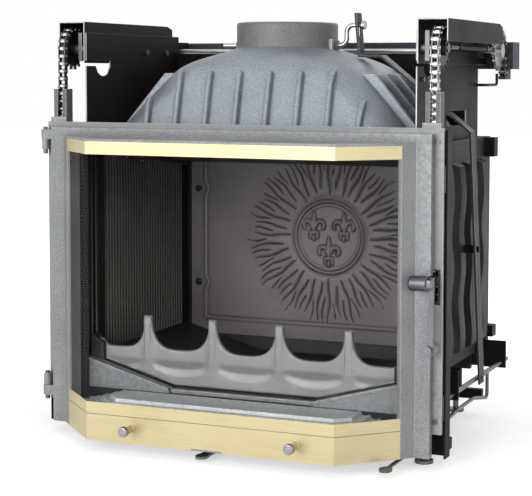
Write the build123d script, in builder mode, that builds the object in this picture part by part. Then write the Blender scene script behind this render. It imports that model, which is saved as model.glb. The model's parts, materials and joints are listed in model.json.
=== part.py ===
"""Fireplace insert with a prism shaped lift-up door, in millimetres.

X runs to the right, Y to the back and Z up. The origin lies on the floor, midway
between the sides, in the plane of the lifting frame's front face.
"""

from build123d import *
import os
from math import atan2, ceil, cos, degrees, hypot, pi, radians, sin, sqrt, tan

os.makedirs("parts", exist_ok=True)

# Overall sizes
carrier_width = 700.0
carrier_top = 529.0
carrier_bottom = 55.5
prism_depth = 108.6
box_front = 29.0
box_back = 414.0
collar_radius = 87.5
door_lift = 381.0

# Faces that the other sizes are taken from
carrier_half = carrier_width / 2
box_half = carrier_half - 42.0
top_plate_top = carrier_top - 28.0

# Lifting frame
carrier_thickness = 6.0
carrier_stile = 32.0
carrier_rail = 29.0
lug_width = 30.0
lug_height = 8.0
lug_inset = 5.0

# Swinging door
door_width = carrier_width - 30.0
door_top = carrier_top - 9.0
door_bottom = 20.0
door_thickness = 14.0
door_gap = 1.0
opening_half = door_width / 2 - 47.0
ridge_crest = 6.0
ridge_bevel = 17.0
top_rail_drop = 13.5
roof_thickness = 4.0

# Prism of glass and brass
prism_half = opening_half + 6.0
prism_start = 32.0
prism_knee_half = prism_half - 79.6
brass_thickness = 1.5
panel_thickness = 5.0
glass_thickness = 4.0
glass_knee_radius = 6.0
top_strip_height = 20.5
upper_band_bottom = 64.2
upper_band_top = 83.0
lower_band_top = 63.2
glass_bottom = 68.5
lever_notch_width = 52.0
lever_notch_height = 3.0

# Pull knobs
knob_left_x = -132.5
knob_right_x = 152.0
knob_z = 45.5
knob_radius = 8.5
knob_length = 9.0
knob_collar_radius = 6.5
knob_collar_length = 22.0

# Hinge at the left of the door
hinge_x = -carrier_half - 0.5
hinge_y = -8.0
hinge_pin_radius = 4.0
hinge_clearance = 0.05
knuckle_radius = 6.0
hinge_eye_radius = 7.0
upper_knuckle = (carrier_top - 46.5, carrier_top - 29.3)
upper_eye = (carrier_top - 29.0, carrier_top - 13.0)
lower_knuckle = (carrier_bottom + 25.0, carrier_bottom + 44.5)
lower_eye = (carrier_bottom + 8.2, carrier_bottom + 24.7)
hinge_eye_reach = 29.5
hinge_pin_tip = 7.7

# Latch at the right of the door
latch_pivot_x = carrier_half - 14.0
latch_pivot_z = 191.0
latch_pivot_radius = 4.0
latch_ear_radius = 10.0
latch_bar_width = 7.0
latch_bar_x = carrier_half - 9.5
latch_bar_top = latch_pivot_z + 112.0
latch_bar_front = 28.0
latch_bar_thickness = 6.0
latch_grip_z = latch_pivot_z + 104.0
latch_grip_radius = 11.8
latch_grip_length = 28.0
latch_nose_width = 5.5
latch_nose_height = 12.0
latch_nose_z = latch_pivot_z + 103.0
latch_nose_end = 9.2
latch_lip_reach = 3.7
latch_slot_right = carrier_half - 4.0
latch_slot = (latch_pivot_z + 66.5, latch_pivot_z + 121.5)
door_notch_depth = 20.0
door_notch = (latch_pivot_z + 92.0, latch_pivot_z + 112.5)

# Roller chain and sprockets
chain_pitch = 12.7
sprocket_teeth = 16
roller_radius = 4.2
roller_width = 7.8
pin_radius = 1.9
chain_width = 16.0
plate_thickness = 1.4
plate_half_height = 5.7
chain_x = carrier_half - 20.0
chain_front_y = 16.0
chain_front_length = 508.0
chain_back_gap = 2.7
rear_run_pitches = 3
sprocket_thickness = 4.0
tooth_clearance = 0.25
tooth_height = 3.15
hub_radius = 12.0
hub_length = 18.0
axle_radius = 6.0
shaft_clearance = 0.05

sprocket_radius = chain_pitch / 2 / sin(pi / sprocket_teeth)
sprocket_outer = sprocket_radius + tooth_height
front_run_pitches = round(chain_front_length / chain_pitch)
top_run_length = box_back - chain_back_gap - chain_front_y - 2 * sprocket_radius
top_run_pitches = ceil(top_run_length / chain_pitch - 0.01)
axle_y = chain_front_y + sprocket_radius
axle_z = top_plate_top + 151.0
shaft_y = axle_y + top_run_pitches * chain_pitch
chain_rear_y = shaft_y + sprocket_radius
chain_foot_z = axle_z - front_run_pitches * chain_pitch
chain_tail_z = axle_z - rear_run_pitches * chain_pitch

# Sliders behind the lifting frame
slider_half = 12.0
slider_depth = 21.0
slider_wall = 2.5
slider_slot_half = 4.4
slider_top = carrier_top + 55.0
slider_bottom = carrier_bottom + 4.5
shoe_zones = (
    (carrier_bottom + 19.5, carrier_bottom + 59.5),
    (carrier_top - 99.0, carrier_top - 59.0),
)
shoe_front = 9.0
shoe_back = 28.6
shoe_clearance = 0.4
anchor_height = 24.0
anchor_clearance = 0.4

# Fixed posts and base
post_outer = carrier_half + 4.0
post_sheet = 3.0
post_front = 8.0
post_back = 32.0
post_inner = box_half + 4.0
post_bottom = 16.0
post_top = carrier_top - 4.0
crossbar_height = 18.0
crossbar_depth = 12.0
crossbar_bottom = 26.0
foot_radius = 15.0
foot_pad = 5.0
foot_stem_radius = 5.0

# Firebox
wall_thickness = 8.0
back_thickness = 6.0
wall_bottom = 125.0
top_plate_thickness = 8.0
front_frame_half = box_half + 10.0
front_frame_front = 12.0
front_frame_bottom = 44.0
front_frame_top = top_plate_top + 4.0
front_frame_opening_top = top_plate_top - 13.0
liner_thickness = 10.0
liner_bottom = 130.3
liner_top = top_plate_top - 11.0
flute_pitch = 10.0
flute_radius = 3.6
flute_first = 90.0
flute_margin = 20.0
coarse_flutes = (46.0, 66.0)

# Wavy cast ribs outside the walls
rib_first_y = 67.0
rib_pitch = 68.0
rib_width = 40.0
rib_relief = 13.0
wave_length = 118.0
wave_swing = 7.0
rib_bottom = 145.0
rib_top = top_plate_top - 37.0
rib_span = box_back - back_thickness - rib_first_y - rib_width / 2 - wave_swing
rib_count = int(rib_span / rib_pitch) + 1

# Hearth
hearth_half = box_half - 19.0
hearth_flat_half = 130.0
hearth_flat_z = 86.0
hearth_rim_z = 130.0
hearth_thickness = 6.0
hearth_front = 30.0
ash_box_half = 124.0
ash_box_bottom = 20.0
ash_box_front = 46.0
ash_box_back = box_back - 34.0
ash_box_wall = 6.0
grate_half = 110.0
grate_front = 130.0
grate_back = ash_box_back - 80.0
grate_thickness = 10.0
grate_slots = 11
grate_clearance = 1.5
pan_half = 112.0
pan_front = 90.0
pan_back = ash_box_back - 30.0
pan_height = 38.0
pan_wall = 2.0

# Threshold inside the prism
sill_clearance = 4.0
sill_levels = (62.0, 70.0, 78.0)
sill_step_inset = 16.0
sill_thickness = 8.0

# Fireback
fireback_half = box_half - 28.0
fireback_bottom = 112.0
fireback_top = top_plate_top - 15.0
fireback_front = box_back - 14.0
fireback_border = 28.0
medallion_z = 307.0
medallion_radius = 70.0
medallion_inner = 62.0
ray_count = 44
ray_inner = 82.0
ray_outer = 160.0
ray_width = 8.0
relief = 3.0
fireback_bolt_x = fireback_half - 16.0
fireback_bolt_z = (210.0, 390.0)
bolt_head_radius = 7.0
flute_count = int((fireback_front - flute_first - flute_margin) / flute_pitch + 0.001)

# Log retainer
retainer_y = 42.0
retainer_thickness = 9.0
retainer_half = hearth_half - 6.0
retainer_end_top = 156.0
prong_pitch = 121.0
prong_top = 202.0
prong_half = 7.0
scallop_bottom = 147.0

# Smoke hood, flue collar and baffle
collar_wall = 7.5
shoulder_radius = collar_radius + 1.5
hood_base_half_x = box_half - 46.0
hood_base_half_y = (box_back - box_front - 72.0) / 2
hood_center_y = box_front + 26.5 + hood_base_half_y
hood_crease_half_x = hood_base_half_x - 84.0
hood_crease_half_y = hood_base_half_y - 24.5
hood_crease_z = top_plate_top + 109.0
hood_top_z = hood_crease_z + 40.0
hood_throat_radius = shoulder_radius + 8.0
hood_wall = 6.0
hood_rib_pitch = 54.6
hood_rib_count = 8
hood_rib_width = 8.0
hood_rib_relief = 8.0
hood_side_rib_pitch = 57.0
hood_side_rib_width = 12.0
hood_side_rib_relief = 19.0
hood_short_rib_top = top_plate_top + 65.0
collar_top = hood_top_z + 48.0
collar_bottom = hood_top_z - 10.0
shoulder_top = hood_top_z + 23.0
baffle_front = 150.0
baffle_front_z = top_plate_top - 27.0
baffle_back_z = baffle_front_z - 34.0
baffle_thickness = 8.0

# Damper and its linkage
spindle_z = hood_top_z + 9.5
spindle_radius = 4.0
spindle_left = -shoulder_radius - 32.0
flap_gap = 3.0
flap_radius = collar_radius - collar_wall - flap_gap
flap_thickness = 6.0
crank_radius = 34.0
crank_rest_angle = 0.0
crank_x = shoulder_radius + 21.0
lever_head_x = crank_x + 20.0
lever_neck_x = crank_x + 26.0
lever_sheet = 4.0
lever_width = 25.0
lever_knee_x = lever_neck_x + 40.0
lever_knee_z = hood_crease_z + 31.0
lever_bend_z = top_plate_top + 14.0
lever_bottom = 96.0
lever_top = lever_knee_z + 71.5
lever_pivot_y = hood_center_y + 6.0
lever_pivot_z = 320.0
control_rod_z = 103.0
control_rod_x = box_half + 35.0
control_rod_radius = 4.0
spoon_x = control_rod_x - 59.0
spoon_z = 12.0

# Side plates, chain covers and rear shaft
plate_inner = carrier_half - 56.5
side_plate_sheet = 2.5
side_plate_front = box_front + 3.0
side_plate_back = hood_center_y + hood_base_half_y + 3.5
side_plate_top = axle_z + 27.0
side_plate_arm = top_plate_top + 131.0
side_plate_step = top_plate_top + 122.0
side_foot = 10.0
window_y = (lever_pivot_y - 31.0, lever_pivot_y + 82.0)
window_z = (top_plate_top + 24.0, top_plate_top + 48.5)
cross_plate_top = axle_z - 5.0
cover_inner = plate_inner + side_plate_sheet
cover_outer = chain_x + 16.0
cover_sheet = 2.0
cover_front = box_front + 1.0
cover_back = shaft_y - 28.25
cover_top = axle_z + sprocket_radius + 12.95
cover_inner_bottom = axle_z - 24.4
cover_outer_bottom = axle_z + 10.5
cover_corner = (19.0, 6.0)
shaft_radius = 4.0

# Counterweight
weight_half = carrier_half - 4.0
weight_front = chain_rear_y + 8.2
weight_depth = 46.0
weight_bottom = axle_z - 32.0
weight_height = 48.0
weight_rod_x = box_half - 46.0
weight_rod_radius = 6.0
weight_rod_clearance = 0.6
weight_rod_bottom = weight_bottom - door_lift - 40.0
weight_rod_top = weight_bottom + weight_height - 6.0
tongue_back = weight_front - 1.5
tongue_z = (cover_inner_bottom, axle_z + 17.0)

# Small sizes of the frame, door and latch
knuckle_web = 5.5
screw_x = carrier_half - 10.0
screw_inset = 20.0
screw_head = 1.5
screw_radius = 4.5
glass_joint = 0.5
hinge_pin_crown = 4.0
latch_gap = 0.3
latch_head = 4.7
latch_head_radius = 7.0
latch_eye_radius = 9.0
latch_grip_stand = 10.0
latch_grip_round = 4.0
latch_nose_x = carrier_half - 16.0
latch_lip_gap = 0.4
latch_window_reach = 3.5
tooth_flare = 1.27

# Small sizes of the weight and its hangers
weight_chamfer = 2.0
hanger_half = 6.5
hanger_sheet = 6.0
guide_bracket_half = 12.0
guide_bracket_height = 12.0

# Base and walls
rear_bar_half = box_half - 8.0
rear_foot_x = rear_bar_half - 50.0
rear_leg_half = 10.0
front_foot_x = post_outer - 44.0
rib_steps = 11
rib_flank = 5.0
pivot_boss_radius = 7.0
mouth_ledge = 6.0
liner_gap = 0.4
coarse_depth = 4.0
coarse_width = 8.0
ledge_front = 170.0
ledge_back = fireback_front - 20.0
ledge_height = 8.0
ledge_reach = 12.0
baffle_gap = 0.4

# Grate, air slide and threshold
hearth_gap = 0.3
grate_ledge = 6.0
grate_slot_pitch = 18.0
grate_slot_margin = 20.0
grate_slot_width = 8.0
slide_half = 60.0
slide_bottom = 15.5
slide_thickness = 4.0
slide_clearance = 0.4
slide_front = 60.0
slide_back = 200.0
slide_rail_back = 236.0
slide_vent_y = 120.0
slide_vent_pitch = 56.0
slide_vent_radius = 18.0
rail_width = 8.0
rail_lip = 2.0
air_lever_x = -15.0
air_lever_width = 16.0
air_lever_sheet = 4.0
air_lever_bottom = 6.0
air_lever_front = -prism_depth + 16.6
air_lever_overlap = 14.0
spoon_half_width = 10.0
spoon_half_length = 13.0
sill_shoulder = 5.2

# Relief of the fireback
ray_short = 148.0
bolt_head = 4.0
lily_places = ((-24.0, 20.0), (24.0, 20.0), (0.0, -26.0))
lily_petal = (4.0, 14.0)
lily_band = (18.0, 3.2)
lily_spread = 8.5
lily_lift = 2.0
lily_drop = 9.0
lily_tilt = 32.0

# Log retainer's ends
retainer_gap = 0.3
retainer_dip = 144.5
retainer_bump = retainer_half - 24.0
bracket_span = (retainer_half - 21.0, retainer_half + 4.0)
bracket_top = 166.0
bracket_drop = 14.0
bracket_gap = 0.3
bracket_sheet = 6.0

# Hood and damper details
hood_corner = 42.0
hood_side_ribs = 4
hood_side_rib_first = hood_center_y - 121.0
spindle_boss = 6.0
spindle_boss_radius = 9.0
crank_pin_end = lever_head_x + 13.5
crank_bend = 12.0
nut_length = 5.0
nut_radius = 7.5
flap_seat = 2.0
crank_slot_length = 15.0
crank_slot_width = 13.0
crank_slot_drop = 8.0

# Lever, control rod and their brackets
lever_bend_x = box_half + 24.0
lever_foot_x = lever_bend_x + 18.0
pivot_radius = 5.0
pivot_shoulder_x = lever_bend_x + 6.0
pivot_end_x = pivot_shoulder_x + 8.0
control_pin_radius = 4.0
control_pin_play = 0.5
control_rod_front = 55.0
control_rod_back = box_back - 6.0
pull_rod_radius = 3.0
pull_bend = 9.0
front_bracket = (50.0, 115.0)
rear_bracket = (box_back - 84.0, box_back - 14.0)
front_bracket_ear = 84.0
rear_bracket_ear = box_back - 42.0
bracket_plate = 4.0
bracket_plate_top = 141.0
bracket_ear_bottom = 93.0
bracket_outer = control_rod_x + 9.0
clamp_zones = ((146.0, 166.0), (top_plate_top - 35.0, top_plate_top - 1.0))
clamp_depth = (box_back - 38.0, box_back - 14.0)
clamp_reach = 18.0

# Side plate, cover and spring details
hook_notch = (
    (112.0, 119.0),
    (104.0, 108.0),
    (92.0, 104.5),
    (80.0, 105.5),
    (70.0, 111.0),
    (63.0, 122.0),
)
side_foot_front = 60.0
side_foot_back = side_plate_back - 32.0
shaft_passage = 1.0
hub_play = 0.3
axle_shoulder = 10.0
axle_cap = 2.6
axle_cap_radius = 7.0
axle_bar = (8.0, 15.0)
axle_bar_half_y = 10.0
axle_bar_z = (-20.0, 27.0)
bearing_depth = 10.0
bearing_half_y = 21.0
bearing_z = (axle_z - 12.0, axle_z + 16.0)
spring_x = chain_x + 8.0
spring_z = axle_z + 1.5
spring_front = axle_y + 68.5
spring_radius = 3.0
spring_wire = 0.8
spring_pitch = 3.1
spring_turns = 48
anchor_plate = 5.0
anchor_depth = 4.0
anchor_play = 0.1
adjuster_radius = 3.5
adjuster_front = axle_y + 15.5
stud_radius = 2.5
stud_length = 29.0
stop_radius = 2.5
stop_bend = 6.0
cover_bolts = ((cover_back - 107.5, axle_z - 4.0), (cover_back - 31.5, axle_z - 4.0))
side_bolt = (57.0, top_plate_top + 102.0)
side_bolt_radius = 3.5
small_bolt_head = 3.5
small_bolt_radius = 5.0
pull_points = (
    (spoon_x, -70.0, spoon_z),
    (spoon_x, 75.0, spoon_z),
    (control_rod_x, 105.0, 72.0),
    (control_rod_x, 198.0, 73.0),
    (control_rod_x, 284.0, 57.0),
    (control_rod_x, 284.0, control_rod_z),
)
stop_points = (
    (cover_inner, side_plate_back - 5.0, axle_z - 60.0),
    (cover_inner + 17.0, side_plate_back - 5.0, axle_z - 60.0),
    (chain_x - 11.5, chain_rear_y + 2.7, axle_z - 60.0),
    (chain_x - 11.5, chain_rear_y + 2.7, axle_z - 40.0),
)

pin_y = hood_center_y - crank_radius * sin(radians(-crank_rest_angle))
pin_z = spindle_z + crank_radius * cos(radians(crank_rest_angle))
lever_rest_angle = atan2(lever_pivot_y - pin_y, pin_z - lever_pivot_z)
slot_share = (lever_top - pin_z + crank_slot_drop) / (lever_top - lever_knee_z)
lever_x = lever_head_x + slot_share * (lever_neck_x - lever_head_x)


def level(z):
    """A horizontal plane at a height."""
    return Plane.XY.offset(z)


def facing(y):
    """An upright plane across the object at a depth, looking to the front."""
    return Plane.XZ.offset(-y)


def sideways(x):
    """An upright plane from front to back at a distance from the middle."""
    return Plane.YZ.offset(x)


def block(x, y, z, mode=Mode.ADD):
    """Adds or cuts a box between its low and high limits."""
    with Locations(((x[0] + x[1]) / 2, (y[0] + y[1]) / 2, (z[0] + z[1]) / 2)):
        Box(abs(x[1] - x[0]), abs(y[1] - y[0]), abs(z[1] - z[0]), mode=mode)


def rod(start, end, radius, mode=Mode.ADD):
    """Adds or cuts a straight round bar between two points."""
    span = Vector(*end) - Vector(*start)
    with Locations(Plane(origin=start, z_dir=span)):
        Cylinder(
            radius,
            span.length,
            align=(Align.CENTER, Align.CENTER, Align.MIN),
            mode=mode,
        )


def slab(plane, points, depth, mode=Mode.ADD):
    """Adds or cuts a straight sided piece drawn on a plane."""
    with BuildSketch(plane) as outline:
        with BuildLine():
            Polyline(*points, close=True)
        make_face()
    extrude(outline.sketch, amount=depth, mode=mode)


def flip(points):
    """Mirrors a list of points to the left."""
    return [(-x, z) for x, z in points]


def finish(name, part):
    """Labels a piece and writes its file."""
    part.label = name
    export_step(part, f"parts/{name}.step")


def hearth_height(x):
    """Height of the hearth's upper face at a distance from its middle."""
    share = (abs(x) - hearth_flat_half) / (hearth_half - hearth_flat_half)
    return hearth_flat_z + min(max(share, 0.0), 1.0) * (hearth_rim_z - hearth_flat_z)


def prism_line(inset):
    """The prism's outline in plan from left to right, moved inwards."""
    rise = prism_depth - prism_start
    run = prism_half - prism_knee_half
    end_x = prism_half - inset * hypot(run, rise) / rise
    knee_x = prism_knee_half - inset * (hypot(run, rise) - run) / rise
    return [
        (-end_x, -prism_start),
        (-knee_x, inset - prism_depth),
        (knee_x, inset - prism_depth),
        (end_x, -prism_start),
    ]


def prism_sheet(low, high, outside, inside):
    """Adds a sheet bent along the prism, between two insets from its outline."""
    slab(level(low), prism_line(outside) + prism_line(inside)[::-1], high - low)


# Lifting frame, which slides up in front of the firebox
carrier_opening = carrier_half - carrier_stile
lug_outer = carrier_half - lug_inset
lug_inner = lug_outer - lug_width
lug_top = carrier_top + lug_height
with BuildPart() as carrier_frame:
    half_outline = [
        (carrier_opening, carrier_top - carrier_rail),
        (carrier_opening, carrier_bottom),
        (carrier_half, carrier_bottom),
        (carrier_half, carrier_top),
        (lug_outer, carrier_top),
        (lug_outer, lug_top),
        (lug_inner, lug_top),
        (lug_inner, carrier_top),
    ]
    slab(
        facing(carrier_thickness),
        half_outline + flip(half_outline)[::-1],
        carrier_thickness,
    )
    block(
        (carrier_opening, latch_slot_right),
        (0, carrier_thickness),
        latch_slot,
        mode=Mode.SUBTRACT,
    )
    for low, high in (upper_knuckle, lower_knuckle):
        rod((hinge_x, hinge_y, low), (hinge_x, hinge_y, high), knuckle_radius)
        block(
            (hinge_x - knuckle_web, hinge_x + knuckle_web),
            (hinge_y, carrier_thickness),
            (low, high),
        )
        rod(
            (hinge_x, hinge_y, low),
            (hinge_x, hinge_y, high),
            hinge_pin_radius + hinge_clearance,
            mode=Mode.SUBTRACT,
        )
finish("carrier_frame", carrier_frame.part)


def add_slider():
    """Adds the right hand channel that runs in the post, with its shoes."""
    back = carrier_thickness + slider_depth
    inner_half = slider_half - slider_wall
    heights = (slider_bottom, slider_top)
    block((chain_x - slider_half, chain_x + slider_half), (carrier_thickness, back), heights)
    block(
        (chain_x - inner_half, chain_x + inner_half),
        (carrier_thickness + slider_wall, back),
        heights,
        mode=Mode.SUBTRACT,
    )
    block(
        (chain_x - slider_slot_half, chain_x + slider_slot_half),
        (carrier_thickness, back),
        (lug_top, slider_top),
        mode=Mode.SUBTRACT,
    )
    shoe_outer = post_outer - post_sheet - shoe_clearance
    for zone in shoe_zones:
        block((chain_x + slider_half, shoe_outer), (shoe_front, shoe_back), zone)


with BuildPart() as slider_right:
    add_slider()
    block(
        (chain_x - latch_window_reach, chain_x + slider_half),
        (carrier_thickness, latch_nose_end + hinge_clearance + 0.4),
        latch_slot,
        mode=Mode.SUBTRACT,
    )
finish("slider_right", slider_right.part)

with BuildPart() as slider_left:
    add_slider()
    mirror(about=Plane.YZ, mode=Mode.REPLACE)
finish("slider_left", slider_left.part)

with BuildPart() as carrier_screws:
    for x in (-screw_x, screw_x):
        for z in (carrier_top - screw_inset, carrier_bottom + screw_inset):
            rod((x, -screw_head, z), (x, 0, z), screw_radius)
finish("carrier_screws", carrier_screws.part)

# Anchor blocks that hold the chains' front ends inside the channels
with BuildPart() as chain_clevises:
    clevis_top = chain_foot_z - plate_half_height - anchor_clearance
    inner_half = slider_half - slider_wall
    for x in (-chain_x, chain_x):
        block(
            (x - inner_half, x + inner_half),
            (carrier_thickness + slider_wall, chain_front_y + plate_half_height),
            (clevis_top - anchor_height, clevis_top),
        )
finish("chain_clevises", chain_clevises.part)

# Swinging door
door_half = door_width / 2
door_front = -door_gap - door_thickness
roof_bottom = door_top - top_rail_drop - roof_thickness
roof_top = door_top - top_rail_drop
with BuildPart() as door_frame:
    half_outline = [
        (opening_half, roof_bottom),
        (opening_half, door_bottom),
        (door_half, door_bottom),
        (door_half, door_top),
    ]
    slab(facing(-door_gap), half_outline + flip(half_outline)[::-1], door_thickness)
    ridge = [
        (opening_half + ridge_crest + ridge_bevel, door_front),
        (opening_half + ridge_crest, door_front - ridge_bevel),
        (opening_half, door_front - ridge_bevel),
        (opening_half, door_front),
    ]
    slab(level(door_bottom), ridge, roof_top - door_bottom)
    slab(level(door_bottom), flip(ridge), roof_top - door_bottom)
    roof = flip(ridge)[:1] + prism_line(0) + ridge[:1]
    slab(level(roof_bottom), roof, roof_thickness)
    prism_sheet(
        door_bottom,
        glass_bottom - glass_joint,
        brass_thickness,
        brass_thickness + panel_thickness,
    )
    ear_front = -latch_bar_front + latch_bar_thickness + latch_gap
    rod(
        (latch_pivot_x, -door_gap, latch_pivot_z),
        (latch_pivot_x, ear_front, latch_pivot_z),
        latch_ear_radius,
    )
    rod(
        (latch_pivot_x, -door_gap, latch_pivot_z),
        (latch_pivot_x, ear_front, latch_pivot_z),
        latch_pivot_radius,
        mode=Mode.SUBTRACT,
    )
    block(
        (door_half - door_notch_depth, door_half),
        (door_front, -door_gap),
        door_notch,
        mode=Mode.SUBTRACT,
    )
    for low, high in (upper_eye, lower_eye):
        rod((hinge_x, hinge_y, low), (hinge_x, hinge_y, high), hinge_eye_radius)
        block(
            (hinge_x, hinge_x + hinge_eye_reach),
            (door_front, hinge_y + knuckle_radius),
            (low, high),
        )
        rod(
            (hinge_x, hinge_y, low),
            (hinge_x, hinge_y, high),
            hinge_pin_radius + hinge_clearance,
            mode=Mode.SUBTRACT,
        )
finish("door_frame", door_frame.part)

with BuildPart() as door_glass:
    prism_sheet(
        glass_bottom,
        roof_bottom,
        brass_thickness,
        brass_thickness + glass_thickness,
    )
    knees = door_glass.edges().filter_by(Axis.Z).group_by(Axis.Y)
    fillet(knees[0], radius=glass_knee_radius)
    fillet(knees[1], radius=glass_knee_radius - glass_thickness)
finish("door_glass", door_glass.part)

with BuildPart() as brass_top_strip:
    prism_sheet(roof_bottom - top_strip_height, roof_bottom, 0, brass_thickness)
finish("brass_top_strip", brass_top_strip.part)

with BuildPart() as brass_upper_band:
    prism_sheet(upper_band_bottom, upper_band_top, 0, brass_thickness)
finish("brass_upper_band", brass_upper_band.part)

with BuildPart() as brass_lower_band:
    prism_sheet(door_bottom, lower_band_top, 0, brass_thickness)
    block(
        (-lever_notch_width / 2, lever_notch_width / 2),
        (-prism_depth, -prism_depth + brass_thickness),
        (door_bottom, door_bottom + lever_notch_height),
        mode=Mode.SUBTRACT,
    )
finish("brass_lower_band", brass_lower_band.part)

with BuildPart() as knob_collars:
    for x in (knob_left_x, knob_right_x):
        rod(
            (x, -prism_depth, knob_z),
            (x, -prism_depth - knob_collar_length, knob_z),
            knob_collar_radius,
        )
finish("knob_collars", knob_collars.part)

with BuildPart() as pull_knobs:
    knob_back = -prism_depth - knob_collar_length
    for x in (knob_left_x, knob_right_x):
        rod((x, knob_back, knob_z), (x, knob_back - knob_length, knob_z), knob_radius)
    fillet(pull_knobs.edges().filter_by(GeomType.CIRCLE).group_by(Axis.Y)[0], radius=2.5)
finish("pull_knobs", pull_knobs.part)

# Pins of the door's hinge, and the screw that the latch turns on
with BuildPart() as hinge_pins:
    for low, high in (
        (upper_knuckle[0] - hinge_pin_tip, upper_eye[1] + hinge_pin_crown),
        (lower_eye[0] - hinge_pin_tip, lower_knuckle[1] + hinge_pin_crown),
    ):
        rod((hinge_x, hinge_y, low), (hinge_x, hinge_y, high), hinge_pin_radius)
    rod(
        (latch_pivot_x, -door_gap, latch_pivot_z),
        (latch_pivot_x, -latch_bar_front - latch_gap, latch_pivot_z),
        latch_pivot_radius,
    )
    rod(
        (latch_pivot_x, -latch_bar_front - latch_gap, latch_pivot_z),
        (latch_pivot_x, -latch_bar_front - latch_gap - latch_head, latch_pivot_z),
        latch_head_radius,
    )
finish("hinge_pins", hinge_pins.part)

with BuildPart() as latch_lever:
    bar_low = latch_bar_x - latch_bar_width / 2
    bar_high = latch_bar_x + latch_bar_width / 2
    bar_back = -latch_bar_front + latch_bar_thickness
    block((bar_low, bar_high), (-latch_bar_front, bar_back), (latch_pivot_z, latch_bar_top))
    rod(
        (latch_pivot_x, -latch_bar_front, latch_pivot_z),
        (latch_pivot_x, bar_back, latch_pivot_z),
        latch_eye_radius,
    )
    rod(
        (latch_pivot_x, -latch_bar_front, latch_pivot_z),
        (latch_pivot_x, bar_back, latch_pivot_z),
        latch_pivot_radius + hinge_clearance,
        mode=Mode.SUBTRACT,
    )
    grip_y = -latch_bar_front - latch_grip_stand
    block(
        (bar_low, bar_high),
        (grip_y - latch_nose_height / 2, -latch_bar_front),
        (latch_grip_z - latch_nose_height / 2, latch_grip_z + latch_nose_height / 2),
    )
    rod(
        (bar_low - latch_grip_length, grip_y, latch_grip_z),
        (bar_low, grip_y, latch_grip_z),
        latch_grip_radius,
    )
    grip_end = latch_lever.edges().filter_by(GeomType.CIRCLE).group_by(Axis.X)[0]
    fillet(grip_end, radius=latch_grip_round)
    nose_heights = (latch_nose_z - latch_nose_height / 2, latch_nose_z + latch_nose_height / 2)
    block(
        (latch_nose_x, latch_nose_x + latch_nose_width),
        (-latch_bar_front, latch_nose_end),
        nose_heights,
    )
    block(
        (latch_nose_x + latch_nose_width, latch_nose_x + latch_nose_width + latch_lip_reach),
        (carrier_thickness + latch_lip_gap, latch_nose_end),
        nose_heights,
    )
finish("latch_lever", latch_lever.part)

# Counterweight behind the firebox
weight_back = weight_front + weight_depth
weight_y = weight_front + weight_depth / 2
weight_top = weight_bottom + weight_height
with BuildPart() as counterweight_bar:
    block((-weight_half, weight_half), (weight_front, weight_back), (weight_bottom, weight_top))
    chamfer(counterweight_bar.edges().filter_by(Axis.X), length=weight_chamfer)
    with Locations((-weight_rod_x, weight_y, weight_top), (weight_rod_x, weight_y, weight_top)):
        Hole(radius=weight_rod_radius + weight_rod_clearance, depth=weight_height)
finish("counterweight_bar", counterweight_bar.part)

with BuildPart() as chain_hangers:
    tail_bottom = chain_tail_z - plate_half_height - anchor_clearance
    hanger_front = chain_rear_y - plate_half_height
    upright_front = chain_rear_y + plate_half_height + anchor_clearance
    for x in (-chain_x, chain_x):
        sides = (x - hanger_half, x + hanger_half)
        block(sides, (hanger_front, upright_front), (tail_bottom - hanger_sheet, tail_bottom))
        block(
            sides,
            (upright_front, weight_y),
            (tail_bottom - hanger_sheet, weight_bottom),
        )
finish("chain_hangers", chain_hangers.part)


def add_teeth(x, y):
    """Adds a toothed disc in mesh with the chain, about an axle at depth y."""
    seat = roller_radius + tooth_clearance
    with BuildSketch(sideways(x - sprocket_thickness / 2)) as teeth:
        with Locations((y, axle_z)):
            Circle(sprocket_outer)
            with PolarLocations(sprocket_radius, sprocket_teeth):
                Circle(seat, mode=Mode.SUBTRACT)
                Polygon(
                    (0, -seat),
                    (seat, -seat * tooth_flare),
                    (seat, seat * tooth_flare),
                    (0, seat),
                    align=None,
                    mode=Mode.SUBTRACT,
                )
    extrude(teeth.sketch, amount=sprocket_thickness)


def add_sprocket():
    """Adds the right hand front sprocket with its hub and bore."""
    low, high = chain_x - hub_length / 2, chain_x + hub_length / 2
    add_teeth(chain_x, axle_y)
    rod((low, axle_y, axle_z), (high, axle_y, axle_z), hub_radius)
    rod(
        (low, axle_y, axle_z),
        (high, axle_y, axle_z),
        axle_radius + shaft_clearance,
        mode=Mode.SUBTRACT,
    )


with BuildPart() as sprocket_right:
    add_sprocket()
finish("sprocket_right", sprocket_right.part)

with BuildPart() as sprocket_left:
    add_sprocket()
    mirror(about=Plane.YZ, mode=Mode.REPLACE)
finish("sprocket_left", sprocket_left.part)

# Rear shaft, which keeps both chains in step
with BuildPart() as sync_shaft:
    shaft_end = chain_x + hub_length / 2
    rod((-shaft_end, shaft_y, axle_z), (shaft_end, shaft_y, axle_z), shaft_radius)
    for x in (-chain_x, chain_x):
        add_teeth(x, shaft_y)
        rod(
            (x - hub_length / 2, shaft_y, axle_z),
            (x + hub_length / 2, shaft_y, axle_z),
            hub_radius,
        )
finish("sync_shaft", sync_shaft.part)


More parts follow.
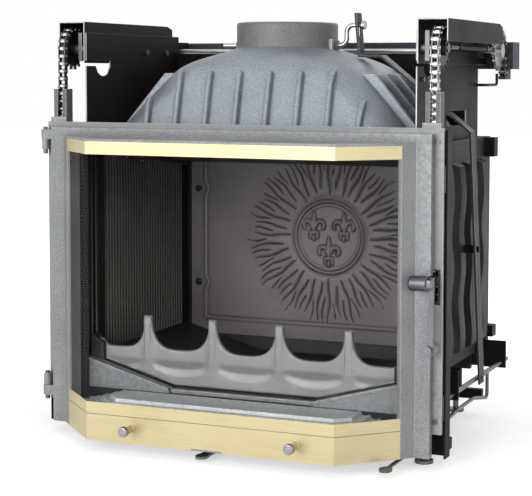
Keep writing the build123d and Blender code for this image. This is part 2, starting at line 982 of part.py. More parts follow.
def chain_points():
    """Centres of the rollers in side view, from the front end to the rear end."""
    points = []
    for count in range(front_run_pitches):
        points.append((chain_front_y, chain_foot_z + count * chain_pitch))
    turn = 2 * pi / sprocket_teeth
    for count in range(sprocket_teeth // 4):
        angle = pi - count * turn
        points.append(
            (axle_y + sprocket_radius * cos(angle), axle_z + sprocket_radius * sin(angle))
        )
    for count in range(top_run_pitches):
        points.append((axle_y + count * chain_pitch, axle_z + sprocket_radius))
    for count in range(sprocket_teeth // 4):
        angle = pi / 2 - count * turn
        points.append(
            (shaft_y + sprocket_radius * cos(angle), axle_z + sprocket_radius * sin(angle))
        )
    for count in range(rear_run_pitches + 1):
        points.append((chain_rear_y, axle_z - count * chain_pitch))
    return points


def add_rollers(points, radius, low, high):
    """Adds a disc at each given centre, between two distances from the chain's middle."""
    with BuildSketch(sideways(chain_x + low)) as discs:
        with Locations(*points):
            Circle(radius)
    extrude(discs.sketch, amount=high - low)


def add_plates(points, first, low, high):
    """Adds every second link plate, between two distances from the chain's middle."""
    with BuildSketch(sideways(chain_x + low)) as plates:
        for (y0, z0), (y1, z1) in list(zip(points, points[1:]))[first::2]:
            tilt = degrees(atan2(z1 - z0, y1 - y0))
            with Locations(Location(((y0 + y1) / 2, (z0 + z1) / 2), tilt)):
                SlotCenterToCenter(chain_pitch, 2 * plate_half_height)
    extrude(plates.sketch, amount=high - low)


with BuildPart() as chain_right:
    centres = chain_points()
    inner_face = roller_width / 2
    middle_face = inner_face + plate_thickness
    outer_face = middle_face + plate_thickness
    add_rollers(centres, roller_radius, -inner_face, inner_face)
    add_plates(centres, 0, inner_face, middle_face)
    add_plates(centres, 0, -middle_face, -inner_face)
    add_plates(centres, 1, middle_face, outer_face)
    add_plates(centres, 1, -outer_face, -middle_face)
    add_rollers(centres[1:-1], pin_radius, outer_face, chain_width / 2)
    add_rollers(centres[1:-1], pin_radius, -chain_width / 2, -outer_face)
finish("chain_right", chain_right.part)

with BuildPart() as chain_left:
    add(chain_right.part)
    mirror(about=Plane.YZ, mode=Mode.REPLACE)
finish("chain_left", chain_left.part)

# Guide posts and base
with BuildPart() as guide_post_right:
    slab(
        level(post_bottom),
        [
            (post_outer - post_sheet, post_front),
            (post_outer, post_front),
            (post_outer, post_back),
            (post_inner, post_back),
            (post_inner, post_back - post_sheet),
            (post_outer - post_sheet, post_back - post_sheet),
        ],
        post_top - post_bottom,
    )
finish("guide_post_right", guide_post_right.part)

with BuildPart() as guide_post_left:
    mirror(guide_post_right.part, about=Plane.YZ)
finish("guide_post_left", guide_post_left.part)

with BuildPart() as base_crossbars:
    bar_heights = (crossbar_bottom, crossbar_bottom + crossbar_height)
    front_bar = (post_back, post_back + crossbar_depth)
    rear_bar = (box_back - crossbar_depth, box_back)
    block((-post_outer, post_outer), front_bar, bar_heights)
    block((-rear_bar_half, rear_bar_half), rear_bar, bar_heights)
    for x in (-rear_foot_x, rear_foot_x):
        block(
            (x - rear_leg_half, x + rear_leg_half),
            rear_bar,
            (crossbar_bottom, hearth_flat_z),
        )
finish("base_crossbars", base_crossbars.part)

with BuildPart() as feet:
    front_y = post_back + crossbar_depth / 2
    rear_y = box_back - crossbar_depth / 2
    for x, y in (
        (-front_foot_x, front_y),
        (front_foot_x, front_y),
        (-rear_foot_x, rear_y),
        (rear_foot_x, rear_y),
    ):
        rod((x, y, 0), (x, y, foot_pad), foot_radius)
        rod((x, y, foot_pad), (x, y, crossbar_bottom), foot_stem_radius)
finish("feet", feet.part)

# Firebox walls
wall_top = top_plate_top - top_plate_thickness
wall_back = box_back - back_thickness


def rib_outline(x, center, half_width, low, high):
    """A wavy upright band at a distance from the middle of the object."""
    steps = [low + (high - low) * count / rib_steps for count in range(rib_steps + 1)]
    middles = [center + wave_swing * sin(2 * pi * (z - rib_bottom) / wave_length) for z in steps]
    front_side = [(y - half_width, z) for y, z in zip(middles, steps)]
    back_side = [(y + half_width, z) for y, z in zip(middles, steps)]
    with BuildSketch(sideways(x)) as band:
        with BuildLine():
            Spline(*front_side)
            Line(front_side[-1], back_side[-1])
            Spline(*back_side[::-1])
            Line(back_side[0], front_side[0])
        make_face()
    return band.sketch


def add_wavy_ribs():
    """Adds the wavy ribs of the right hand wall with their sloping flanks."""
    for count in range(rib_count):
        center = rib_first_y + count * rib_pitch
        root = rib_outline(box_half, center, rib_width / 2, rib_bottom, rib_top)
        crest = rib_outline(
            box_half + rib_relief,
            center,
            rib_width / 2 - rib_flank,
            rib_bottom + rib_flank,
            rib_top - rib_flank,
        )
        loft([root, crest], ruled=True)


with BuildPart() as side_wall_plain:
    block((box_half - wall_thickness, box_half), (box_front, wall_back), (wall_bottom, wall_top))
    add_wavy_ribs()

with BuildPart() as side_wall_right:
    add(side_wall_plain.part)
    rod(
        (box_half, lever_pivot_y, lever_pivot_z),
        (box_half + 2 * rib_relief, lever_pivot_y, lever_pivot_z),
        pivot_boss_radius,
        mode=Mode.SUBTRACT,
    )
finish("side_wall_right", side_wall_right.part)

with BuildPart() as side_wall_left:
    mirror(side_wall_plain.part, about=Plane.YZ)
finish("side_wall_left", side_wall_left.part)

with BuildPart() as back_wall:
    block((-box_half, box_half), (wall_back, box_back), (hearth_flat_z, wall_top))
finish("back_wall", back_wall.part)

with BuildPart() as top_plate:
    block((-box_half, box_half), (box_front, box_back), (wall_top, top_plate_top))
    mouth_x = hood_base_half_x - hood_wall - mouth_ledge
    mouth_y = hood_base_half_y - hood_wall - mouth_ledge
    block(
        (-mouth_x, mouth_x),
        (hood_center_y - mouth_y, hood_center_y + mouth_y),
        (wall_top, top_plate_top),
        mode=Mode.SUBTRACT,
    )
finish("top_plate", top_plate.part)

with BuildPart() as front_frame:
    block(
        (-front_frame_half, front_frame_half),
        (front_frame_front, box_front),
        (front_frame_bottom, front_frame_top),
    )
    block(
        (-opening_half, opening_half),
        (front_frame_front, box_front),
        (sill_levels[-1], front_frame_opening_top),
        mode=Mode.SUBTRACT,
    )
finish("front_frame", front_frame.part)

# Fluted liners, which stand on the hearth's rim
liner_face = box_half - wall_thickness - liner_thickness
liner_front = box_front + liner_gap
liner_back = fireback_front
with BuildPart() as liner_right:
    with BuildSketch(level(liner_bottom)) as section:
        with BuildLine():
            Polyline(
                (liner_face, liner_front),
                (liner_face + liner_thickness, liner_front),
                (liner_face + liner_thickness, liner_back),
                (liner_face, liner_back),
                close=True,
            )
        make_face()
        with Locations(*[(liner_face, flute_first + n * flute_pitch) for n in range(flute_count)]):
            Circle(flute_radius, mode=Mode.SUBTRACT)
        with Locations(*[(liner_face, y) for y in coarse_flutes]):
            Rectangle(2 * coarse_depth, coarse_width, mode=Mode.SUBTRACT)
    extrude(section.sketch, amount=liner_top - liner_bottom)
    slope = (baffle_front_z - baffle_back_z) / (wall_back - baffle_front)
    ledge_points = []
    for y in (ledge_front, ledge_back):
        ledge_points.append((y, baffle_front_z - slope * (y - baffle_front)))
    for y, z in ledge_points[::-1]:
        ledge_points.append((y, z - ledge_height))
    slab(sideways(liner_face - ledge_reach), ledge_points, ledge_reach)
finish("liner_right", liner_right.part)

with BuildPart() as liner_left:
    mirror(liner_right.part, about=Plane.YZ)
finish("liner_left", liner_left.part)

# Smoke baffle, which rests on the liners' ledges
with BuildPart() as smoke_baffle:
    slope = (baffle_front_z - baffle_back_z) / (wall_back - baffle_front)
    back_y = fireback_front - relief - baffle_gap
    low_z = baffle_front_z - slope * (back_y - baffle_front)
    slab(
        sideways(-liner_face + baffle_gap),
        [
            (baffle_front, baffle_front_z),
            (back_y, low_z),
            (back_y, low_z + baffle_thickness),
            (baffle_front, baffle_front_z + baffle_thickness),
        ],
        2 * (liner_face - baffle_gap),
    )
finish("smoke_baffle", smoke_baffle.part)

# Hopper shaped hearth with a rebate for the grate
grate_y = (grate_front, grate_back)
rebate_floor = hearth_flat_z - grate_thickness
with BuildPart() as hearth:
    wall_face = box_half - wall_thickness
    upper_line = [
        (-wall_face, hearth_rim_z),
        (-hearth_half, hearth_rim_z),
        (-hearth_flat_half, hearth_flat_z),
        (hearth_flat_half, hearth_flat_z),
        (hearth_half, hearth_rim_z),
        (wall_face, hearth_rim_z),
    ]
    lower_line = [(x, z - hearth_thickness) for x, z in upper_line[::-1]]
    hearth_back = fireback_front - relief - hearth_gap
    slab(facing(hearth_back), upper_line + lower_line, hearth_back - hearth_front)
    rebate_half = grate_half + grate_ledge
    block(
        (-rebate_half, rebate_half),
        (grate_y[0] - grate_ledge, grate_y[1] + grate_ledge),
        (rebate_floor - grate_ledge, hearth_flat_z),
    )
    block((-grate_half, grate_half), grate_y, (rebate_floor, hearth_flat_z), mode=Mode.SUBTRACT)
    block(
        (grate_ledge - grate_half, grate_half - grate_ledge),
        (grate_y[0] + grate_ledge, grate_y[1] - grate_ledge),
        (rebate_floor - grate_ledge, hearth_flat_z),
        mode=Mode.SUBTRACT,
    )
finish("hearth", hearth.part)

with BuildPart() as grate:
    grate_inner = grate_half - grate_clearance
    block(
        (-grate_inner, grate_inner),
        (grate_y[0] + grate_clearance, grate_y[1] - grate_clearance),
        (rebate_floor, hearth_flat_z),
    )
    with BuildSketch(level(rebate_floor)) as slots:
        with Locations((0, (grate_y[0] + grate_y[1]) / 2)):
            with GridLocations(grate_slot_pitch, 0, grate_slots, 1):
                SlotOverall(
                    grate_back - grate_front - 2 * grate_slot_margin,
                    grate_slot_width,
                    rotation=90,
                )
    extrude(slots.sketch, amount=grate_thickness, mode=Mode.SUBTRACT)
finish("grate", grate.part)

# Ash box under the hearth, with rails below it for the air slide
ash_top = hearth_flat_z - hearth_thickness
with BuildPart() as ash_box:
    block(
        (-ash_box_half, ash_box_half),
        (ash_box_front, ash_box_back),
        (ash_box_bottom, ash_top),
    )
    block(
        (ash_box_wall - ash_box_half, ash_box_half - ash_box_wall),
        (ash_box_front + ash_box_wall, ash_box_back - ash_box_wall),
        (ash_box_bottom + ash_box_wall, ash_top),
        mode=Mode.SUBTRACT,
    )
    rail = [
        (slide_half + slide_clearance, ash_box_bottom),
        (slide_half + slide_clearance + rail_width, ash_box_bottom),
        (slide_half + slide_clearance + rail_width, slide_bottom - rail_lip),
        (slide_half - rail_lip, slide_bottom - rail_lip),
        (slide_half - rail_lip, slide_bottom - slide_clearance),
        (slide_half + slide_clearance, slide_bottom - slide_clearance),
    ]
    slab(facing(slide_rail_back), rail, slide_rail_back - ash_box_front)
    slab(facing(slide_rail_back), flip(rail), slide_rail_back - ash_box_front)
    with Locations((0, slide_vent_y, ash_box_bottom + ash_box_wall)):
        with GridLocations(slide_vent_pitch, 0, 2, 1):
            Hole(radius=slide_vent_radius, depth=ash_box_wall)
finish("ash_box", ash_box.part)

with BuildPart() as ash_pan:
    pan_bottom = ash_box_bottom + ash_box_wall
    block((-pan_half, pan_half), (pan_front, pan_back), (pan_bottom, pan_bottom + pan_height))
    top_face = ash_pan.faces().sort_by(Axis.Z)[-1]
    offset(amount=-pan_wall, openings=top_face)
finish("ash_pan", ash_pan.part)

# Air slide with its lever, which comes out below the door
with BuildPart() as air_slide:
    slide_top = slide_bottom + slide_thickness
    block((-slide_half, slide_half), (slide_front, slide_back), (slide_bottom, slide_top))
    with Locations((0, slide_vent_y, slide_top)):
        with GridLocations(slide_vent_pitch, 0, 2, 1):
            Hole(radius=slide_vent_radius, depth=slide_thickness)
    lever_y = slide_front + air_lever_overlap
    block(
        (air_lever_x - air_lever_width / 2, air_lever_x + air_lever_width / 2),
        (slide_front, lever_y),
        (air_lever_bottom, slide_bottom),
    )
    block(
        (air_lever_x - air_lever_width / 2, air_lever_x + air_lever_width / 2),
        (air_lever_front, lever_y),
        (air_lever_bottom, air_lever_bottom + air_lever_sheet),
    )
    with BuildSketch(level(air_lever_bottom)) as spoon:
        with Locations((air_lever_x, air_lever_front)):
            Ellipse(spoon_half_width, spoon_half_length)
    extrude(spoon.sketch, amount=air_lever_sheet)
finish("air_slide", air_slide.part)

# Stepped threshold that fills the prism
with BuildPart() as front_sill:
    inset = brass_thickness + panel_thickness + sill_clearance
    low = sill_levels[0] - sill_thickness
    for count, high in enumerate(sill_levels):
        edge = prism_line(inset + count * sill_step_inset)
        reach = min(opening_half - sill_clearance, edge[-1][0] + sill_shoulder)
        shoulder_y = edge[-1][1] + sill_shoulder
        outline = [(-reach, front_frame_front), (-reach, shoulder_y)]
        outline += edge
        outline += [(reach, shoulder_y), (reach, front_frame_front)]
        slab(level(low), outline, high - low)
        low = high
finish("front_sill", front_sill.part)

# Fireback with a border, a ring of rays and a medallion with three lilies
with BuildPart() as fireback:
    block(
        (-fireback_half, fireback_half),
        (fireback_front, wall_back),
        (fireback_bottom, fireback_top),
    )
    with BuildSketch(facing(fireback_front)) as raised:
        middle = (fireback_bottom + fireback_top) / 2
        height = fireback_top - fireback_bottom
        with Locations((0, middle)):
            Rectangle(2 * fireback_half, height)
            Rectangle(
                2 * (fireback_half - fireback_border),
                height - 2 * fireback_border,
                mode=Mode.SUBTRACT,
            )
        with Locations((0, medallion_z)):
            Circle(medallion_radius)
            Circle(medallion_inner, mode=Mode.SUBTRACT)
            for turn in range(ray_count):
                reach = ray_outer if turn % 2 else ray_short
                with Locations(Rotation(0, 0, turn * 360 / ray_count)):
                    Polygon(
                        (ray_inner, -ray_width / 4),
                        ((ray_inner + reach) / 2, -ray_width / 2),
                        (reach, 0),
                        ((ray_inner + reach) / 2, ray_width / 2),
                        (ray_inner, ray_width / 4),
                        align=None,
                    )
        for x, z in lily_places:
            with Locations((x, medallion_z + z)):
                Ellipse(lily_petal[0], lily_petal[1])
                Rectangle(lily_band[0], lily_band[1])
            for way in (-1, 1):
                with Locations((x + way * lily_spread, medallion_z + z + lily_lift)):
                    Ellipse(lily_petal[0], lily_petal[1] * 0.8, rotation=-way * lily_tilt)
                with Locations((x + way * lily_spread / 2, medallion_z + z - lily_drop)):
                    Ellipse(lily_petal[0] / 2, lily_petal[1] / 2, rotation=way * lily_tilt)
    extrude(raised.sketch, amount=relief)
finish("fireback", fireback.part)

with BuildPart() as fireback_bolts:
    head_back = fireback_front - relief
    for x in (-fireback_bolt_x, fireback_bolt_x):
        for z in fireback_bolt_z:
            rod((x, head_back, z), (x, head_back - bolt_head, z), bolt_head_radius)
finish("fireback_bolts", fireback_bolts.part)

# Log retainer with scalloped top and four prongs
with BuildPart() as log_retainer:
    near, far = prong_pitch / 2, 1.5 * prong_pitch
    end_bottom = hearth_height(retainer_half) + retainer_gap
    flat_bottom = hearth_flat_z + retainer_gap
    with BuildSketch(facing(retainer_y + retainer_thickness / 2)) as outline:
        with BuildLine():
            ThreePointArc(
                (0, scallop_bottom),
                ((near - prong_half) * 0.72, scallop_bottom + (prong_top - scallop_bottom) * 0.32),
                (near - prong_half, prong_top),
            )
            Line((near - prong_half, prong_top), (near + prong_half, prong_top))
            ThreePointArc(
                (near + prong_half, prong_top),
                (prong_pitch, scallop_bottom),
                (far - prong_half, prong_top),
            )
            Line((far - prong_half, prong_top), (far + prong_half, prong_top))
            ThreePointArc(
                (far + prong_half, prong_top),
                (far + prong_half + 12, retainer_dip + 15),
                (far + prong_half + 38, retainer_dip),
            )
            Polyline(
                (far + prong_half + 38, retainer_dip),
                (retainer_bump, retainer_dip + 1.5),
                (retainer_half, retainer_end_top),
                (retainer_half, end_bottom),
                (hearth_flat_half, flat_bottom),
                (0, flat_bottom),
                (0, scallop_bottom),
            )
        make_face()
        mirror(about=Plane.YZ)
    extrude(outline.sketch, amount=retainer_thickness)
finish("log_retainer", log_retainer.part)

# Cheeks that stand on the hearth and hold the retainer's ends
with BuildPart() as retainer_brackets:
    cheek_in, cheek_out = bracket_span
    cheek = [
        (cheek_in, hearth_height(cheek_in)),
        (cheek_out, hearth_height(cheek_out)),
        (cheek_out, bracket_top),
        (cheek_in, bracket_top - bracket_drop),
    ]
    retainer_back = retainer_y + retainer_thickness / 2 + bracket_gap
    retainer_front = retainer_y - retainer_thickness / 2 - bracket_gap
    for points in (cheek, flip(cheek)):
        slab(facing(retainer_front), points, retainer_front - liner_front)
        slab(facing(retainer_back + bracket_sheet), points, bracket_sheet)
finish("retainer_brackets", retainer_brackets.part)

# Smoke hood
def hood_lofts(wall, mode):
    """Adds or cuts the hood's two stages, drawn in by a wall thickness."""
    with BuildSketch(level(top_plate_top)) as base:
        with Locations((0, hood_center_y)):
            RectangleRounded(
                2 * (hood_base_half_x - wall), 2 * (hood_base_half_y - wall), hood_corner - wall
            )
    with BuildSketch(level(hood_crease_z)) as crease:
        with Locations((0, hood_center_y)):
            RectangleRounded(
                2 * (hood_crease_half_x - wall), 2 * (hood_crease_half_y - wall), hood_corner - wall
            )
    with BuildSketch(level(hood_top_z - wall / 2)) as throat:
        with Locations((0, hood_center_y)):
            RectangleRounded(
                2 * (hood_throat_radius - wall),
                2 * (hood_throat_radius - wall),
                hood_throat_radius - wall - 1,
            )
    loft([base.sketch, crease.sketch], mode=mode)
    loft([crease.sketch, throat.sketch], mode=mode)


def hood_side_at(z):
    """Half width of the hood's lower stage at a height."""
    share = (z - top_plate_top) / (hood_crease_z - top_plate_top)
    return hood_base_half_x + share * (hood_crease_half_x - hood_base_half_x)


def hood_front_at(z):
    """Depth of the hood's front face at a height."""
    share = (z - top_plate_top) / (hood_crease_z - top_plate_top)
    half = hood_base_half_y + share * (hood_crease_half_y - hood_base_half_y)
    return hood_center_y - half


with BuildPart() as hood:
    hood_lofts(0, Mode.ADD)
    for count in range(hood_rib_count):
        x = (count - (hood_rib_count - 1) / 2) * hood_rib_pitch
        high = hood_short_rib_top if abs(x) > hood_crease_half_x else hood_crease_z
        slab(
            sideways(x - hood_rib_width / 2),
            [
                (hood_front_at(top_plate_top) + hood_wall, top_plate_top),
                (hood_front_at(top_plate_top) - hood_rib_relief, top_plate_top),
                (hood_front_at(high - hood_rib_relief) - hood_rib_relief, high - hood_rib_relief),
                (hood_front_at(high) + hood_wall, high + hood_rib_relief / 2),
            ],
            hood_rib_width,
        )
    for count in range(hood_side_ribs):
        y = hood_side_rib_first + count * hood_side_rib_pitch
        rib = [
            (hood_side_at(top_plate_top) - hood_wall, top_plate_top),
            (hood_side_at(top_plate_top) + hood_side_rib_relief, top_plate_top),
            (hood_side_at(hood_crease_z) + hood_side_rib_relief, hood_crease_z),
            (hood_side_at(hood_crease_z) - hood_wall, hood_crease_z + hood_rib_relief / 2),
        ]
        slab(facing(y + hood_side_rib_width / 2), rib, hood_side_rib_width)
        slab(facing(y + hood_side_rib_width / 2), flip(rib), hood_side_rib_width)
    hood_lofts(hood_wall, Mode.SUBTRACT)
    rod(
        (0, hood_center_y, hood_crease_z),
        (0, hood_center_y, hood_top_z + hood_wall),
        shoulder_radius,
        mode=Mode.SUBTRACT,
    )
finish("hood", hood.part)

with BuildPart() as flue_collar:
    collar_inner = collar_radius - collar_wall
    rod((0, hood_center_y, shoulder_top), (0, hood_center_y, collar_top), collar_radius)
    rod((0, hood_center_y, collar_bottom), (0, hood_center_y, shoulder_top), shoulder_radius)
    rod(
        (-shoulder_radius - spindle_boss, hood_center_y, spindle_z),
        (shoulder_radius + spindle_boss, hood_center_y, spindle_z),
        spindle_boss_radius,
    )
    rod(
        (0, hood_center_y, collar_bottom),
        (0, hood_center_y, collar_top),
        collar_inner,
        mode=Mode.SUBTRACT,
    )
    rod(
        (-shoulder_radius - spindle_boss, hood_center_y, spindle_z),
        (shoulder_radius + spindle_boss, hood_center_y, spindle_z),
        spindle_radius + shaft_clearance,
        mode=Mode.SUBTRACT,
    )
finish("flue_collar", flue_collar.part)

# Damper flap on its cranked spindle
with BuildPart() as damper_spindle:
    with BuildLine() as spindle_path:
        FilletPolyline(
            (spindle_left, hood_center_y, spindle_z),
            (crank_x, hood_center_y, spindle_z),
            (crank_x, pin_y, pin_z),
            (crank_pin_end, pin_y, pin_z),
            radius=crank_bend,
        )
    with BuildSketch(Plane(origin=spindle_path.line @ 0, z_dir=spindle_path.line % 0)) as wire:
        Circle(spindle_radius)
    sweep(wire.sketch, path=spindle_path.line)
    rod((crank_pin_end - nut_length, pin_y, pin_z), (crank_pin_end, pin_y, pin_z), nut_radius)
finish("damper_spindle", damper_spindle.part)

with BuildPart() as damper_flap:
    flap_bottom = spindle_z + flap_seat
    rod(
        (0, hood_center_y, flap_bottom),
        (0, hood_center_y, flap_bottom + flap_thickness),
        flap_radius,
    )
    rod(
        (-flap_radius, hood_center_y, spindle_z),
        (flap_radius, hood_center_y, spindle_z),
        spindle_radius,
        mode=Mode.SUBTRACT,
    )
finish("damper_flap", damper_flap.part)

# Bent lever at the side, which the damper's crank moves
lever_plane = Plane(
    origin=(0, lever_pivot_y, lever_pivot_z),
    x_dir=(1, 0, 0),
    z_dir=(0, -cos(lever_rest_angle), -sin(lever_rest_angle)),
)
with BuildPart() as damper_lever:
    with BuildSketch(lever_plane) as strip:
        with BuildLine():
            Polyline(
                (lever_head_x, lever_top - lever_pivot_z),
                (lever_neck_x, lever_knee_z - lever_pivot_z),
                (lever_knee_x, lever_knee_z - lever_pivot_z),
                (lever_bend_x, lever_bend_z - lever_pivot_z),
                (lever_foot_x, lever_bottom - lever_pivot_z),
            )
            offset(amount=lever_sheet / 2, side=Side.BOTH)
        make_face()
    extrude(strip.sketch, amount=lever_width / 2, both=True)
    slot_center = (lever_x, pin_y, pin_z - crank_slot_drop)
    with BuildSketch(Plane(origin=slot_center, x_dir=(0, 1, 0), z_dir=(1, 0, 0))) as slot:
        SlotCenterToCenter(
            crank_slot_length,
            crank_slot_width,
            rotation=90 + degrees(lever_rest_angle),
        )
    extrude(slot.sketch, amount=2 * lever_sheet, both=True, mode=Mode.SUBTRACT)
    rod(
        (box_half, lever_pivot_y, lever_pivot_z),
        (post_outer, lever_pivot_y, lever_pivot_z),
        pivot_radius + shaft_clearance,
        mode=Mode.SUBTRACT,
    )
    foot_y = lever_pivot_y + (lever_pivot_z - control_rod_z) * tan(lever_rest_angle)
    rod(
        (box_half, foot_y, control_rod_z),
        (post_outer + lever_width, foot_y, control_rod_z),
        control_pin_radius + control_pin_play,
        mode=Mode.SUBTRACT,
    )
finish("damper_lever", damper_lever.part)

# Control rod with its bent pull rod, which ends in a spoon below the door
with BuildPart() as control_rod:
    rod(
        (control_rod_x, control_rod_front, control_rod_z),
        (control_rod_x, control_rod_back, control_rod_z),
        control_rod_radius,
    )
    rod(
        (control_rod_x, foot_y, control_rod_z),
        (lever_foot_x + lever_sheet, foot_y, control_rod_z),
        control_pin_radius,
    )
    with BuildLine() as pull_path:
        FilletPolyline(*pull_points, radius=pull_bend)
    with BuildSketch(Plane(origin=pull_path.line @ 0, z_dir=pull_path.line % 0)) as wire:
        Circle(pull_rod_radius)
    sweep(wire.sketch, path=pull_path.line)
    with BuildSketch(level(spoon_z - air_lever_sheet / 2)) as spoon:
        with Locations((spoon_x, pull_points[0][1])):
            Ellipse(spoon_half_width, spoon_half_length)
    extrude(spoon.sketch, amount=air_lever_sheet)
finish("control_rod", control_rod.part)

with BuildPart() as rod_brackets:
    for low, high, ear in (
        (front_bracket[0], front_bracket[1], front_bracket_ear),
        (rear_bracket[0], rear_bracket[1], rear_bracket_ear),
    ):
        block(
            (box_half, box_half + bracket_plate),
            (low, high),
            (wall_bottom, bracket_plate_top),
        )
        block(
            (box_half, bracket_outer),
            (ear - bracket_plate / 2, ear + bracket_plate / 2),
            (bracket_ear_bottom, bracket_plate_top),
        )
        rod(
            (control_rod_x, ear - bracket_plate, control_rod_z),
            (control_rod_x, ear + bracket_plate, control_rod_z),
            control_rod_radius + shaft_clearance,
            mode=Mode.SUBTRACT,
        )
    rod(
        (box_half, lever_pivot_y, lever_pivot_z),
        (pivot_shoulder_x, lever_pivot_y, lever_pivot_z),
        pivot_boss_radius,
    )
    rod(
        (pivot_shoulder_x, lever_pivot_y, lever_pivot_z),
        (pivot_end_x, lever_pivot_y, lever_pivot_z),
        pivot_radius,
    )
finish("rod_brackets", rod_brackets.part)

with BuildPart() as wall_clamps:
    for zone in clamp_zones:
        block((box_half, box_half + clamp_reach), clamp_depth, zone)
        block(
            (-box_half - clamp_reach, -box_half),
            clamp_depth,
            zone,
        )
finish("wall_clamps", wall_clamps.part)

# Side plates that carry the chain covers, with a cross plate behind the hood
with BuildPart() as side_plate_plain:
    outline = [
        (side_plate_front, top_plate_top),
        (side_plate_back, top_plate_top),
        (side_plate_back, side_plate_top),
        (side_plate_front, side_plate_top),
        (side_plate_front, side_plate_arm),
        (hook_notch[0][0], side_plate_arm),
    ]
    outline += [(y, top_plate_top + rise) for y, rise in hook_notch]
    outline.append((side_plate_front, side_plate_step))
    slab(sideways(plate_inner), outline, side_plate_sheet)
    rod(
        (plate_inner, shaft_y, axle_z),
        (cover_inner, shaft_y, axle_z),
        shaft_radius + shaft_passage,
        mode=Mode.SUBTRACT,
    )
    block(
        (plate_inner - side_foot, plate_inner),
        (side_foot_front, side_foot_back),
        (top_plate_top, top_plate_top + side_plate_sheet),
    )

with BuildPart() as side_plate_right:
    add(side_plate_plain.part)
    block(
        (plate_inner, plate_inner + side_plate_sheet),
        window_y,
        window_z,
        mode=Mode.SUBTRACT,
    )
finish("side_plate_right", side_plate_right.part)

with BuildPart() as side_plate_left:
    mirror(side_plate_plain.part, about=Plane.YZ)
    block(
        (-plate_inner, plate_inner),
        (side_plate_back - side_plate_sheet, side_plate_back),
        (top_plate_top, cross_plate_top),
    )
finish("side_plate_left", side_plate_left.part)

with BuildPart() as pulley_cover_right:
    flank = cover_inner + cover_sheet
    slab(
        facing(cover_back),
        [
            (cover_inner, cover_inner_bottom),
            (flank, cover_inner_bottom),
            (flank, cover_top - cover_sheet),
            (cover_outer - cover_sheet, cover_top - cover_sheet),
            (cover_outer - cover_sheet, cover_outer_bottom),
            (cover_outer, cover_outer_bottom),
            (cover_outer, cover_top),
            (cover_inner, cover_top),
        ],
        cover_back - cover_front,
    )
    slab(
        sideways(cover_inner),
        [
            (cover_back - cover_corner[0], cover_top),
            (cover_back, cover_top),
            (cover_back, cover_top - cover_corner[1]),
        ],
        cover_outer - cover_inner,
        mode=Mode.SUBTRACT,
    )
    block((cover_inner, flank), (cover_back, tongue_back), tongue_z)
    rod(
        (cover_inner, shaft_y, axle_z),
        (flank, shaft_y, axle_z),
        shaft_radius + shaft_passage,
        mode=Mode.SUBTRACT,
    )
finish("pulley_cover_right", pulley_cover_right.part)

with BuildPart() as pulley_cover_left:
    mirror(pulley_cover_right.part, about=Plane.YZ)
finish("pulley_cover_left", pulley_cover_left.part)

# Stub axles of the front sprockets and bearing blocks of the rear shaft
with BuildPart() as axle_supports_half:
    flank = cover_inner + cover_sheet
    hub_low, hub_high = chain_x - hub_length / 2, chain_x + hub_length / 2
    rod((flank, axle_y, axle_z), (hub_low - hub_play, axle_y, axle_z), axle_shoulder)
    rod((flank, axle_y, axle_z), (hub_high + hub_play, axle_y, axle_z), axle_radius)
    rod(
        (hub_high + hub_play, axle_y, axle_z),
        (hub_high + hub_play + axle_cap, axle_y, axle_z),
        axle_cap_radius,
    )
    block(
        (flank + axle_bar[0], flank + axle_bar[1]),
        (axle_y - axle_bar_half_y, axle_y + axle_bar_half_y),
        (axle_z + axle_bar_z[0], axle_z + axle_bar_z[1]),
    )
    block(
        (flank, flank + bearing_depth),
        (shaft_y - bearing_half_y, shaft_y + bearing_half_y),
        bearing_z,
    )
    rod(
        (flank, shaft_y, axle_z),
        (flank + bearing_depth, shaft_y, axle_z),
        shaft_radius + shaft_clearance,
        mode=Mode.SUBTRACT,
    )

with BuildPart() as axle_supports:
    add(axle_supports_half.part)
    mirror(axle_supports_half.part, about=Plane.YZ)
finish("axle_supports", axle_supports.part)

# Spring beside the right hand chain, one unbroken wire wound on biarcs


def spring_point(turn):
    """Point of the spring's middle line after a number of turns."""
    angle = 2 * pi * turn
    return Vector(
        spring_x + spring_radius * cos(angle),
        spring_front + turn * spring_pitch,
        spring_z + spring_radius * sin(angle),
    )


def spring_tangent(turn):
    """Direction of the spring's middle line after a number of turns."""
    angle = 2 * pi * turn
    return Vector(
        -2 * pi * spring_radius * sin(angle),
        spring_pitch,
        2 * pi * spring_radius * cos(angle),
    ).normalized()


def biarc_joint(start, start_way, end, end_way):
    """Point where the two arcs of a biarc with equal arms meet."""
    span = end - start
    ways = start_way + end_way
    spread = 2 * (1 - start_way.dot(end_way))
    reach = (sqrt(span.dot(ways) ** 2 + spread * span.dot(span)) - span.dot(ways)) / spread
    return (start + end + (start_way - end_way) * reach) / 2


with BuildPart() as tension_spring:
    turns = [count / 2 for count in range(2 * spring_turns + 1)]
    with BuildLine() as spring_path:
        for low, high in zip(turns, turns[1:]):
            start, end = spring_point(low), spring_point(high)
            joint = biarc_joint(start, spring_tangent(low), end, spring_tangent(high))
            TangentArc(start, joint, tangent=spring_tangent(low))
            TangentArc(joint, end, tangent=spring_path.line % 1)
    with BuildSketch(Plane(origin=spring_point(0), z_dir=spring_tangent(0))) as wire:
        Circle(spring_wire)
    sweep(wire.sketch, path=spring_path.line)
finish("tension_spring", tension_spring.part)

samples = [(2 * pi * t / 72, t / 72 * spring_pitch) for t in range(72 * 3)]
gaps = []
for angle, y in samples:
    if angle < 1.5 * pi:
        continue
    flat = 2 * spring_radius * abs(sin(angle / 2))
    gaps.append(hypot(flat, y) - 2 * spring_wire)
print(f"tension spring: {spring_turns} turns, least gap to itself {min(gaps):.2f} mm")

